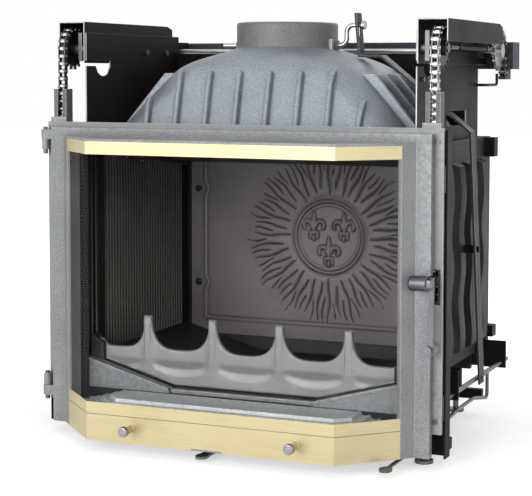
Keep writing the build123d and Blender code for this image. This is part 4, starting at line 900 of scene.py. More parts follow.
def smooth_step(value: Array, low: float, high: float) -> Array:
    """Rises smoothly from 0 to 1.

    The share of the way, s, gives three times its square less twice its cube.

    Args:
        value: The values.
        low: Where the rise starts.
        high: Where it ends.

    Returns:
        The height at each value.
    """
    share = np.clip((value - low) / (high - low), 0.0, 1.0)
    return share * share * (3.0 - 2.0 * share)


def bump_line(distance: Array, width: float) -> Array:
    """A rounded bead about a line, as high as one, from the distance to the line."""
    return np.exp(-((distance / width) ** 2))


@dataclass
class Workshop:
    """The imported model, and how pieces are placed on it."""

    frame: dict

    def place(self, piece: bpy.types.Object, body: Body, slot: Slot, *nodes: str) -> None:
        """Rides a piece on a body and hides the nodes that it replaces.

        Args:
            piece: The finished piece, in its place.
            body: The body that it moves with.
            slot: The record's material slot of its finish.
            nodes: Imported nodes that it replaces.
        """
        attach(piece, body.value)
        self.note(piece, slot, *nodes)

    def note(self, piece: bpy.types.Object, slot: Slot, *nodes: str) -> None:
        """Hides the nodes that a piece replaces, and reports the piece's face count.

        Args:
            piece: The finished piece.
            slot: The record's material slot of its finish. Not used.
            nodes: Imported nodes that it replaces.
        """
        if nodes:
            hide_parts(*nodes)
        LOG.info("%s: %d faces", piece.name, len(piece.data.polygons))

    def dress(self, finish: str, *nodes: str) -> None:
        """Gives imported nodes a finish, with their shape as it is.

        Args:
            finish: The name of the finish.
            nodes: The nodes.
        """
        for node in nodes:
            mesh = self.frame["nodes"][node].data
            mesh.materials.clear()
            mesh.materials.append(Finishes.get(finish))
            LOG.info("%s: %s", node, finish)

    def rounded(self, piece: bpy.types.Object, width: float, ridge: str = "") -> None:
        """Rounds a piece's sharp edges.

        Args:
            piece: The piece.
            width: How far a rounded edge reaches into its faces.
            ridge: The finish of the rounded edges, where it differs.
        """
        bevel = piece.modifiers.new("rounded edges", "BEVEL")
        bevel.width = width
        bevel.segments = 2
        bevel.limit_method = "ANGLE"
        bevel.angle_limit = radians(SHARP_ANGLE)
        bevel.harden_normals = True
        if ridge:
            piece.data.materials.append(Finishes.get(ridge))
            bevel.material = len(piece.data.materials) - 1

    def soften(
        self, finish: str, slot: Slot, width: float, *nodes: str, ridge: str = "", cut: bool = False
    ) -> None:
        """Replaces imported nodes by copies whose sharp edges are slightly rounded.

        Args:
            finish: The name of the finish.
            slot: The record's material slot.
            width: How far a rounded edge reaches into its faces.
            nodes: The nodes.
            ridge: The finish of the rounded edges, where it differs.
            cut: Whether the sheet's cut edges are bare metal.
        """
        for node in nodes:
            source = self.frame["nodes"][node]
            mesh = source.data.copy()
            work = bmesh.new()
            work.from_mesh(mesh)
            bmesh.ops.remove_doubles(work, verts=work.verts, dist=PACKED_MERGE_DISTANCE)
            bmesh.ops.dissolve_limit(
                work, angle_limit=radians(FLAT_ANGLE), verts=work.verts, edges=work.edges
            )
            work.to_mesh(mesh)
            work.free()
            piece = linked(f"{node}.rounded", mesh, finish, SHARP_ANGLE)
            if cut:
                mesh.materials.append(Finishes.get("cut"))
                narrow = narrow_faces(mesh, *CUT_EDGE_WIDTHS)
                mesh.polygons.foreach_set("material_index", narrow)
            self.rounded(piece, width, ridge)
            self.place(piece, Body(source["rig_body"]), slot, node)


@dataclass
class SmokeHood:
    """Domed hood with upright ribs in front and broad fins down both sides, and its flue collar.

    A station holds the outline's half width, half depth, corner radius and height, in
    millimetres, from the foot to the throat. Profiles of turned parts hold radius and distance.
    """

    shop: Workshop
    middle_y: float = 212.0 * MM
    base_z: float = 501.0 * MM
    wall: float = 6.0 * MM
    rib_pitch: float = 54.6 * MM
    rib_count: int = 8
    rib_half: float = 5.0 * MM
    rib_relief: float = 11.0 * MM
    rib_across: tuple = (-1.0, -0.97, -0.88, -0.72, -0.4, 0.0, 0.4, 0.72, 0.88, 0.97, 1.0)
    rib_top: float = 614.5 * MM
    short_rib_top: float = 566.6 * MM
    short_rib_from: float = 180.0 * MM
    fin_first: float = 126.5 * MM
    fin_pitch: float = 57.0 * MM
    fin_count: int = 4
    fin_half: float = 6.0 * MM
    fin_root: float = 5.0 * MM
    fin_crest: Rows = ((501.0, 280.8), (509.5, 280.8), (611.0, 191.5))
    collar_radius: float = 87.5 * MM
    collar_wall: float = 7.5 * MM
    collar_low: float = 641.0 * MM
    collar_top: float = 698.0 * MM
    collar_rim: float = 4.0 * MM
    collar_bevel: float = 0.8 * MM
    collar_foot: Rows = ((91.0, 652.2), (89.6, 653.3), (88.2, 655.2), (87.5, 658.0))
    boss_z: float = 659.5 * MM
    boss: Rows = ((4.2, 85.0), (9.0, 85.0), (9.0, 94.2), (8.2, 95.0), (4.2, 95.0), (4.2, 85.0))
    lug_turn: float = -12.0
    lug_half: float = 2.5 * MM
    lug: Rows = ((85.0, 650.0), (94.0, 651.0), (94.0, 668.5), (92.5, 670.0), (85.0, 670.0))
    stations: Rows = (
        (262.0, 156.5, 42.0, 501.0),
        (260.0, 156.0, 42.0, 510.0),
        (247.0, 153.0, 45.0, 527.0),
        (219.5, 145.5, 49.0, 560.0),
        (193.0, 138.0, 53.0, 590.0),
        (175.0, 132.5, 56.0, 610.0),
        (166.0, 129.0, 60.0, 620.0),
        (148.0, 122.0, 69.0, 631.0),
        (123.0, 109.0, 80.0, 641.0),
        (101.0, 96.0, 88.0, 648.5),
        (90.0, 90.0, 90.0, 653.5),
    )

    def rows(self, count: int) -> Array:
        """Half width, half depth, corner radius and height, from the foot to the throat."""
        return smoothed(np.array(self.stations) * MM, count)

    def sizes(self, height: Array) -> list[Array]:
        """Half width, half depth and corner radius of the outline.

        Args:
            height: The heights that they're wanted at.

        Returns:
            The three arrays.
        """
        rows = self.rows(400)
        return [np.interp(height, rows[:, 3], rows[:, number]) for number in range(3)]

    def skin(self, inset: float) -> Array:
        """Points of the hood's surface, row by row from the foot to the throat.

        Each row is a rounded rectangle. A quarter of it runs back along the right hand side,
        round the corner and along the back to the middle, and the others mirror it.

        Args:
            inset: How far the surface is drawn in.

        Returns:
            A grid of points that closes round the hood.
        """
        rows = self.rows(60)
        half_x, half_y, corner = (rows[:, number : number + 1] - inset for number in range(3))
        straight = np.linspace(0.0, 1.0, 14)[None, :]
        turn = np.linspace(0.0, pi / 2.0, 19)[None, 1:-1]
        across = [half_x + 0.0 * straight, half_x - corner + corner * np.cos(turn)]
        across.append((half_x - corner) * (1.0 - straight))
        along = [(half_y - corner) * straight, half_y - corner + corner * np.sin(turn)]
        along.append(half_y + 0.0 * straight)
        x, y = np.concatenate(across, axis=1), np.concatenate(along, axis=1)
        ring_x = np.concatenate([x, -x[:, -2::-1], -x[:, 1:], x[:, -2:0:-1]], axis=1)
        ring_y = np.concatenate([y, y[:, -2::-1], -y[:, 1:], -y[:, -2:0:-1]], axis=1)
        z = np.broadcast_to(rows[:, 3:] - 0.6 * inset, ring_x.shape)
        return np.stack([ring_x, self.middle_y + ring_y, z], axis=-1)

    def on_front(self, x: Array, z: Array) -> Array:
        """Points of the front face at given distances from the middle and heights.

        Args:
            x: Distances from the middle.
            z: Heights.

        Returns:
            The points.
        """
        half_x, half_y, corner = self.sizes(z)
        past = np.clip(np.abs(x) - (half_x - corner), 0.0, corner)
        reach = half_y - corner + np.sqrt(corner**2 - past**2)
        return np.stack([x, self.middle_y - reach, z], axis=-1)

    def side_at(self, y: float, z: Array) -> Array:
        """Distance of the side faces from the middle, at a depth and given heights.

        Args:
            y: The depth.
            z: The heights.

        Returns:
            The distances.
        """
        half_x, half_y, corner = self.sizes(z)
        past = np.clip(abs(y - self.middle_y) - (half_y - corner), 0.0, corner)
        return half_x - corner + np.sqrt(corner**2 - past**2)

    def rib(self, center: float, top: float) -> Array:
        """Points of a rib on the front face, with a rounded upper end.

        The rib's height falls from its crest with the sixth power of the distance from its
        middle line, and towards its end with the root of one less the square of the distance.

        Args:
            center: The rib's distance from the middle.
            top: Height of its upper end.

        Returns:
            A closed grid: rows go up the rib, and each row goes over it and back below.
        """
        half = self.rib_half
        across = np.array(self.rib_across)
        low = np.linspace(self.base_z, top - half, 12, endpoint=False)
        end = top - half + half * np.sin(np.linspace(0.0, pi / 2.0, 7))
        z = np.concatenate([low, end])
        share = np.clip((z - (top - half)) / half, 0.0, 1.0)
        narrow = np.sqrt(np.clip(1.0 - share**2, 0.0004, 1.0))
        place = center + half * across[None, :] * narrow[:, None]
        height = np.broadcast_to(z[:, None], place.shape)
        step = 0.5 * MM
        point = self.on_front(place, height)
        sideways = self.on_front(place + step, height) - point
        upwards = self.on_front(place, height + step) - point
        out = unit(np.cross(sideways, upwards))
        swell = np.sqrt(np.clip(1.0 - np.abs(across) ** 6, 0.0, 1.0))[None, :] * narrow[:, None]
        crest = point + out * (self.rib_relief * swell - 0.4 * MM)[..., None]
        root = point - out * 2.0 * MM
        return np.concatenate([crest, root[:, ::-1]], axis=1)

    def fin(self, y: float) -> Array:
        """Points of a fin on the right hand side: its outline on both of its flat faces.

        The crest is a line of two straight runs, and the root lies inside the hood's wall.

        Args:
            y: Depth of the fin's middle.

        Returns:
            A grid of two rows, one for each flat face.
        """
        levels, reaches = np.array(self.fin_crest).T * MM
        z = np.concatenate([levels[:1], np.linspace(levels[1], levels[2], 12)])
        crest = np.stack([np.interp(z, levels, reaches), z], axis=-1)
        root = np.stack([self.side_at(y, z) - self.fin_root, z], axis=-1)[::-1]
        outline = np.concatenate([crest, root])
        near, far = y - self.fin_half, y + self.fin_half
        return np.stack([np.insert(outline, 1, place, axis=1) for place in (near, far)])

    def build(self) -> None:
        """Builds the hood with its ribs, the fins and the collar."""
        shell = Shell()
        outer, inner = self.skin(0.0), self.skin(self.wall)
        shell.grid(np.concatenate([outer, inner[::-1], outer[:1]]), around=True)
        for count in range(self.rib_count):
            x = (count - (self.rib_count - 1) / 2.0) * self.rib_pitch
            top = self.short_rib_top if abs(x) > self.short_rib_from else self.rib_top
            shell.grid(self.rib(x, top), around=True, ends=True)
        piece = shell.build("smoke_hood", "hood", 50.0)
        self.shop.place(piece, Body.FIREBOX, Slot.CAST_GREY, "hood")
        fins = Shell()
        for count in range(self.fin_count):
            fin = self.fin(self.fin_first + count * self.fin_pitch)
            fins.grid(fin, around=True, ends=True)
            fins.grid(fin[::-1] * OTHER_SIDE, around=True, ends=True)
        piece = fins.build("hood_fins", "hood")
        self.shop.rounded(piece, 1.3 * MM, "ridge")
        self.shop.place(piece, Body.FIREBOX, Slot.CAST_GREY)
        self.build_collar()
        self.build_lug()

    def build_collar(self) -> None:
        """Builds the collar with its rounded rim and the spindle's bosses."""
        turn = np.linspace(0.0, pi / 2.0, 7)[:, None]
        rim = np.concatenate([np.cos(turn), np.sin(turn)], axis=1) * self.collar_rim
        rim += np.array([self.collar_radius - self.collar_rim, self.collar_top - self.collar_rim])
        bore = self.collar_radius - self.collar_wall
        foot = np.array(self.collar_foot) * MM
        inside = np.array(
            [
                [bore + self.collar_bevel, self.collar_top],
                [bore, self.collar_top - self.collar_bevel],
                [bore, self.collar_low],
                [foot[0, 0], self.collar_low],
            ]
        )
        profile = np.concatenate([inside[-1:], foot, rim, inside])
        shell = Shell()
        shell.grid(turned(profile, (0.0, self.middle_y, 0.0), UPWARD, 112), around=True)
        start = (0.0, self.middle_y, self.boss_z)
        for side in (-1.0, 1.0):
            shell.grid(turned(np.array(self.boss) * MM, start, (side, 0.0, 0.0), 28), around=True)
        piece = shell.build("flue_collar_casting", "collar", 40.0)
        self.shop.place(piece, Body.FIREBOX, Slot.CAST_GREY, "flue_collar")

    def build_lug(self) -> None:
        """Builds the small lug on the collar's foot."""
        shell = Shell()
        away = np.array([cos(radians(self.lug_turn)), sin(radians(self.lug_turn)), 0.0])
        aside = np.array([-away[1], away[0], 0.0]) * self.lug_half
        outline = np.array(self.lug) * MM
        middle = outline[:, :1] * away + outline[:, 1:] * np.array(UPWARD)
        middle = middle + np.array([0.0, self.middle_y, 0.0])
        shell.grid(np.stack([middle - aside, middle + aside]), around=True, ends=True)
        piece = shell.build("collar_lug", "ridge")
        self.shop.rounded(piece, 0.7 * MM)
        self.shop.place(piece, Body.FIREBOX, Slot.CAST_GREY)


@dataclass
class Fireback:
    """Back plate with a beaded border, a ring of rays and a medallion with three lilies.

    A set of grooves holds its turn in parts of a ray, where it starts and ends, and half of its
    width, in millimetres. Lilies stand at distances across and up from the medallion's middle.
    """

    shop: Workshop
    half: float = 280.0 * MM
    bottom: float = 112.0 * MM
    top: float = 486.0 * MM
    face_y: float = 400.0 * MM
    back_y: float = 408.0 * MM
    middle_z: float = 307.0 * MM
    ring: float = 67.0 * MM
    ray_start: float = 76.0 * MM
    ray_long: float = 166.0 * MM
    ray_short: float = 146.0 * MM
    ray_count: int = 20
    ray_height: float = 1.5 * MM
    groove_depth: float = 2.5 * MM
    grooves: Rows = (
        (0.0, 80.0, 160.0, 3.0),
        (0.5, 88.0, 154.0, 2.6),
        (0.24, 116.0, 158.0, 1.8),
        (0.76, 122.0, 162.0, 1.7),
    )
    middle_x: float = 4.0 * MM
    border: float = 30.0 * MM
    bolt_x: float = 264.0 * MM
    bolt_z: tuple[float, float] = (210.0 * MM, 390.0 * MM)
    bolt_pad: float = 19.0 * MM
    lilies: Rows = ((-30.0, 19.0), (30.0, 19.0), (0.0, -29.0))
    lily_scale: tuple[float, float] = (1.1, 1.22)
    lily_height: float = 2.6 * MM
    fine_step: float = 1.5 * MM
    strip: Rows = ((396.0, 81.0), (407.8, 81.0), (407.8, 111.0), (403.0, 111.0), (396.0, 92.0))

    def lines(self) -> tuple[Array, Array]:
        """Places across and up, closer together where the relief is.

        Returns:
            The places across, and the places up.
        """
        reach = self.ray_long + 6.0 * MM
        fine = np.arange(-reach, reach, self.fine_step)
        rim = np.linspace(-self.half, -reach, 52, endpoint=False)
        x = np.concatenate([rim, fine, -rim[::-1]])
        low = np.linspace(self.bottom, self.middle_z - reach, 18, endpoint=False)
        high = np.linspace(self.middle_z + reach, self.top, 8)
        return x, np.concatenate([low, self.middle_z + fine, high])

    def rays(self, radius: Array, angle: Array) -> Array:
        """Height of the rays: a low raised ring that tapered, slightly bent grooves part.

        A groove is a bell across. Its width and depth follow the root of a half wave along
        its length, so it is pointed at both ends.

        Args:
            radius: Distance from the medallion's middle.
            angle: Direction from it.

        Returns:
            Heights in metres.
        """
        rise = smooth_step(radius, self.ray_start - 2.0 * MM, self.ray_start + 6.0 * MM)
        fall = 1.0 - smooth_step(radius, self.ray_short - 6.0 * MM, self.ray_long)
        height = self.ray_height * rise * fall
        turns = angle / (2.0 * pi) * self.ray_count
        for shift, start, reach, wide in self.grooves:
            turn = turns + 0.055 * np.sin(radius / (11.0 * MM) + 5.0 * shift) + shift
            ray = np.mod(np.round(turn), self.ray_count)
            off = np.abs(turn - np.round(turn)) * 2.0 * pi / self.ray_count * radius
            near = start + 4.0 * np.sin(ray * 2.4 + shift)
            far = reach + 8.0 * np.sin(ray * 1.7 + 3.0 * shift)
            share = np.clip((radius / MM - near) / (far - near), 0.0, 1.0)
            leaf = np.sqrt(np.sin(pi * share**0.8).clip(0.0, 1.0))
            height -= self.groove_depth * leaf * bump_line(off, wide * MM * (0.45 + 0.55 * leaf))
        return height

    def lily(self, x: Array, z: Array) -> Array:
        """Height of one lily about its own middle, in millimetres.

        The middle petal is a pointed leaf. The side petals are arcs that curl outwards and
        down, and a short band with three drops ties them.

        Args:
            x: Distances across from the lily's middle, in millimetres.
            z: Distances up from it.

        Returns:
            Heights, with one for the crest.
        """
        rise = np.clip((z + 8.0) / 32.0, 0.0, 1.0)
        leaf = 5.2 * np.sin(pi * rise) ** 0.7 * (1.0 - 0.35 * rise)
        petal = np.clip(1.0 - (x / (leaf + 0.01)) ** 2, 0.0, 1.0) ** 0.5
        side = np.abs(x)
        away = np.hypot(side - 11.0, z - 1.5)
        turn = np.arctan2(z - 1.5, side - 11.0)
        sweep = (turn > -0.9) | (turn < -2.75)
        thick = 2.9 * (1.0 - 0.35 * smooth_step(-turn, 0.0, 0.9))
        curl = np.clip(1.0 - ((away - 7.0) / thick) ** 2, 0.0, 1.0) ** 0.5 * sweep
        band = np.clip(1.0 - np.maximum(np.abs(x) / 9.5, np.abs(z + 9.0) / 2.2) ** 6, 0.0, 1.0)
        drops = np.zeros_like(x)
        for center, low in ((0.0, -21.0), (6.0, -18.0)):
            drop = np.hypot((side - center) / 2.6, (z - (low + 4.0)) / 5.5)
            drops = np.maximum(drops, np.clip(1.0 - drop**2, 0.0, 1.0) ** 0.5)
        return np.maximum.reduce([petal, curl, band, drops])

    def relief(self, x: Array, z: Array) -> Array:
        """Height of the whole relief above the plain face, in metres.

        It is the sum of the rays, the medallion's two rings, the lilies, the raised border and
        the bead along it.

        Args:
            x: Distances from the middle plane.
            z: Heights.

        Returns:
            The heights of the relief.
        """
        up, right = z - self.middle_z, x - self.middle_x
        radius, angle = np.hypot(right, up), np.arctan2(up, right)
        height = self.rays(radius, angle)
        height += 2.4 * MM * bump_line(radius - self.ring, 2.3 * MM)
        height += 1.1 * MM * bump_line(radius - self.ring + 7.0 * MM, 1.3 * MM)
        wide, tall = self.lily_scale
        for across, rise in self.lilies:
            lily = self.lily((right / MM - across) / wide, (up / MM - rise) / tall)
            height += self.lily_height * lily
        middle, tall = (self.top + self.bottom) / 2.0, (self.top - self.bottom) / 2.0
        panel = np.maximum(
            np.abs(x) - (self.half - self.border), np.abs(z - middle) - (tall - self.border)
        )
        for bolt in self.bolt_z:
            away = np.hypot(np.abs(x) - self.bolt_x, z - bolt)
            panel = np.maximum(panel, self.bolt_pad - away)
        height += 1.2 * MM * smooth_step(panel, -1.5 * MM, 1.5 * MM)
        height += 1.6 * MM * bump_line(panel, 2.4 * MM)
        return np.clip(height, -1.5 * MM, 3.0 * MM)

    def note_hollow_shade(self, mesh: bpy.types.Mesh, reach: float = 3.2 * MM) -> None:
        """Stores how deep each point lies below its surroundings, for painted shade in the relief's
        hollows.

        The depth is the mean height of eight points round it less its own, over half a
        millimetre, and nothing off the front face.

        Args:
            mesh: The plate's mesh.
            reach: Distance of the eight points.
        """
        places = np.empty(len(mesh.vertices) * 3)
        mesh.vertices.foreach_get("co", places)
        x, y, z = places.reshape(-1, 3).T
        turns = np.arange(8) * pi / 4.0
        around = [self.relief(x + reach * cos(turn), z + reach * sin(turn)) for turn in turns]
        depth = (np.mean(around, axis=0) - self.relief(x, z)) / (0.5 * MM)
        painted_hollow_shade = np.clip(depth, 0.0, 1.0) * (y < self.face_y + 1.1 * MM)
        mesh.attributes.new("painted_hollow_shade", "FLOAT", "POINT").data.foreach_set("value", painted_hollow_shade)

    def build(self) -> None:
        """Builds the plate, the bolts' heads and the strip behind the hearth."""
        self.build_plate()
        self.build_heads()
        self.build_strip()

    def build_plate(self) -> None:
        """Builds the plate: its front, its back and its four rims."""
        x, z = np.meshgrid(*self.lines())
        front = np.stack([x, self.face_y - self.relief(x, z), z], axis=-1)
        rim = front.copy()
        rim[..., 1] = self.back_y
        shell = Shell()
        shell.grid(front)
        shell.grid(rim[:, :: x.shape[1] - 1])
        shell.grid(rim[:: x.shape[0] - 1, ::-1])
        for side in (0, -1):
            shell.grid(np.stack([front[side], rim[side]]))
        for side in (0, -1):
            shell.grid(np.stack([front[:, side], rim[:, side]]))
        piece = shell.build("fireback_plate", "back", 60.0)
        self.note_hollow_shade(piece.data)
        self.shop.place(piece, Body.FIREBOX, Slot.CAST, "fireback")

    def build_heads(self) -> None:
        """Builds the bolts' domed heads."""
        shell = Shell()
        angle = np.linspace(0.0, pi / 2.0, 7)
        dome = np.stack([7.0 * np.cos(angle), 1.0 + 3.0 * np.sin(angle)], axis=-1) * MM
        profile = np.concatenate([[[7.0 * MM, 0.0]], dome])
        for side in (-1.0, 1.0):
            for bolt in self.bolt_z:
                start = (side * self.bolt_x, self.face_y - 3.0 * MM, bolt)
                shell.grid(turned(profile, start, FORWARD, 24), around=True, ends=True)
        piece = shell.build("fireback_bolt_heads", "chamber", 50.0)
        self.shop.place(piece, Body.FIREBOX, Slot.DARK_STEEL, "fireback_bolts")

    def build_strip(self) -> None:
        """Builds the strip that closes the gap between the plate and the hearth."""
        shell = Shell()
        outline = np.array(self.strip) * MM
        rows = [np.insert(outline, 0, x, axis=1) for x in (-self.half, self.half)]
        shell.grid(np.stack(rows), around=True, ends=True)
        piece = shell.build("hearth_rear_strip", "chamber", 30.0)
        self.shop.rounded(piece, 1.0 * MM)
        self.shop.place(piece, Body.FIREBOX, Slot.CAST)


@dataclass
class LogRetainer:
    """Scalloped guard with four prongs and a dished lower part."""

    shop: Workshop
    front_y: float = 37.5 * MM
    back_y: float = 46.5 * MM
    half: float = 283.0 * MM
    flat_half: float = 130.0 * MM
    bottom: float = 86.3 * MM
    end_bottom: float = 127.7 * MM
    pitch: float = 121.0 * MM
    prong_top: float = 202.0 * MM
    prong_half: float = 7.0 * MM
    valley: float = 147.0 * MM
    edge: float = 3.4 * MM
    ridge_height: float = 1.6 * MM
    ridge_half: float = 15.0 * MM
    dish_depth: float = 3.0 * MM
    dish_low: float = 103.0 * MM
    dish_high: float = 122.0 * MM
    tail: Rows = ((255.0, 146.5), (262.0, 150.0), (268.0, 156.5), (275.0, 158.5), (283.0, 156.0))

    def scallop(self, start: float, end: float, count: int) -> Array:
        """Top line between two prongs: a flat bottomed bowl with upright flanks.

        The line is a superellipse hung from the prongs' tops, so its flanks start upright.

        Args:
            start: Where the left hand flank stands.
            end: Where the right hand flank stands.
            count: Number of points.

        Returns:
            Distances across and heights, one row each.
        """
        turn = np.linspace(0.0, pi, count)
        middle, half = (start + end) / 2.0, (end - start) / 2.0
        x = middle - half * np.sign(np.cos(turn)) * np.abs(np.cos(turn)) ** 0.62
        z = self.prong_top - (self.prong_top - self.valley) * np.sin(turn) ** 0.85
        return np.stack([x, z], axis=-1)

    def top_line(self) -> Array:
        """Top of the outline from the middle to the right hand end.

        Returns:
            Distances across and heights, one row each.
        """
        near, far = self.pitch / 2.0, 1.5 * self.pitch
        first = self.scallop(self.prong_half - near, near - self.prong_half, 57)[28:]
        second = self.scallop(near + self.prong_half, far - self.prong_half, 57)
        last = self.scallop(far + self.prong_half, far + self.prong_half + 90.0 * MM, 57)[:29]
        return np.concatenate([first, second, last, np.array(self.tail) * MM])

    def low_line(self, x: Array) -> Array:
        """Bottom of the outline: level in the middle and rising to the ends.

        Args:
            x: Distances from the middle.

        Returns:
            The heights.
        """
        rise = np.clip((x - self.flat_half) / (self.half - self.flat_half), 0.0, 1.0)
        return self.bottom + rise * (self.end_bottom - self.bottom)

    def relief(self, x: Array, z: Array) -> Array:
        """How far the front stands out: a ridge below each prong, and a dish between them.

        Args:
            x: Distances across.
            z: Heights.

        Returns:
            Distances in metres, which are negative in a dish.
        """
        near = np.abs(np.abs(x) - self.pitch / 2.0)
        far = np.abs(np.abs(x) - 1.5 * self.pitch)
        off = np.minimum(near, far)
        fade = smooth_step(z, 112.0 * MM, 128.0 * MM) * 0.75 + 0.25
        ridge = self.ridge_height * np.clip(1.0 - off / self.ridge_half, 0.0, 1.0) * fade
        center = np.where(np.abs(x) < self.pitch / 2.0, 0.0, self.pitch)
        center = np.where(np.abs(x) > 1.5 * self.pitch, 2.0 * self.pitch, center)
        across = (np.abs(x) - center) / (0.48 * self.pitch)
        low = self.dish_low + np.abs(across) ** 2 * 16.0 * MM
        slope = 1.0 - smooth_step(z, self.dish_high - 8.0 * MM, self.dish_high + 9.0 * MM)
        floor = smooth_step(z, low - 3.0 * MM, low + 12.0 * MM)
        side = 1.0 - smooth_step(np.abs(across), 0.7, 1.0)
        return ridge - self.dish_depth * slope * floor * side

    def build(self) -> None:
        """Builds the retainer: ruled front and back between its edges, and a rounded rim."""
        right = self.top_line()
        top = np.concatenate([right[::-1] * np.array([-1.0, 1.0]), right[1:]])
        keep = np.concatenate([[True], np.hypot(*np.diff(top, axis=0).T) > 0.05 * MM])
        top = top[keep]
        low = np.stack([top[:, 0], self.low_line(np.abs(top[:, 0]))], axis=-1)
        ways = unit(np.gradient(top, axis=0))
        outward = np.stack([-ways[:, 1], ways[:, 0]], axis=-1)
        inset, back = rounded_step(self.edge)
        middle_y = (self.front_y + self.back_y) / 2.0
        share = np.linspace(0.0, 1.0, 44)[None, :]
        upper = top - outward * self.edge
        lower = low + np.array([0.0, self.edge])
        face = lower[:, None, :] + (upper - lower)[:, None, :] * share[..., None]
        stand = self.relief(face[..., 0], face[..., 1])
        front = np.stack([face[..., 0], self.front_y - stand, face[..., 1]], axis=-1)
        rear = np.stack([face[..., 0], np.full_like(stand, self.back_y), face[..., 1]], axis=-1)
        steps = [(depth, self.front_y + step * 1.32) for depth, step in zip(inset[1:], back[1:])]
        rims = [(top - outward * depth, y) for depth, y in steps]
        rims += [(line, 2.0 * middle_y - y) for line, y in rims[-2::-1]]
        feet = [(low + np.array([0.0, depth]), y) for depth, y in steps]
        feet = [(line, 2.0 * middle_y - y) for line, y in feet] + feet[-2::-1]
        over, under = (
            np.stack([np.insert(line, 1, y, axis=1) for line, y in lines], axis=1)
            for lines in (rims, feet)
        )
        loop = np.concatenate([front, over, rear[:, ::-1], under], axis=1)
        shell = Shell()
        shell.grid(loop, around=True, ends=True)
        piece = shell.build("log_retainer_casting", "retainer", 45.0)
        self.shop.place(piece, Body.FIREBOX, Slot.CAST_GREY, "log_retainer")


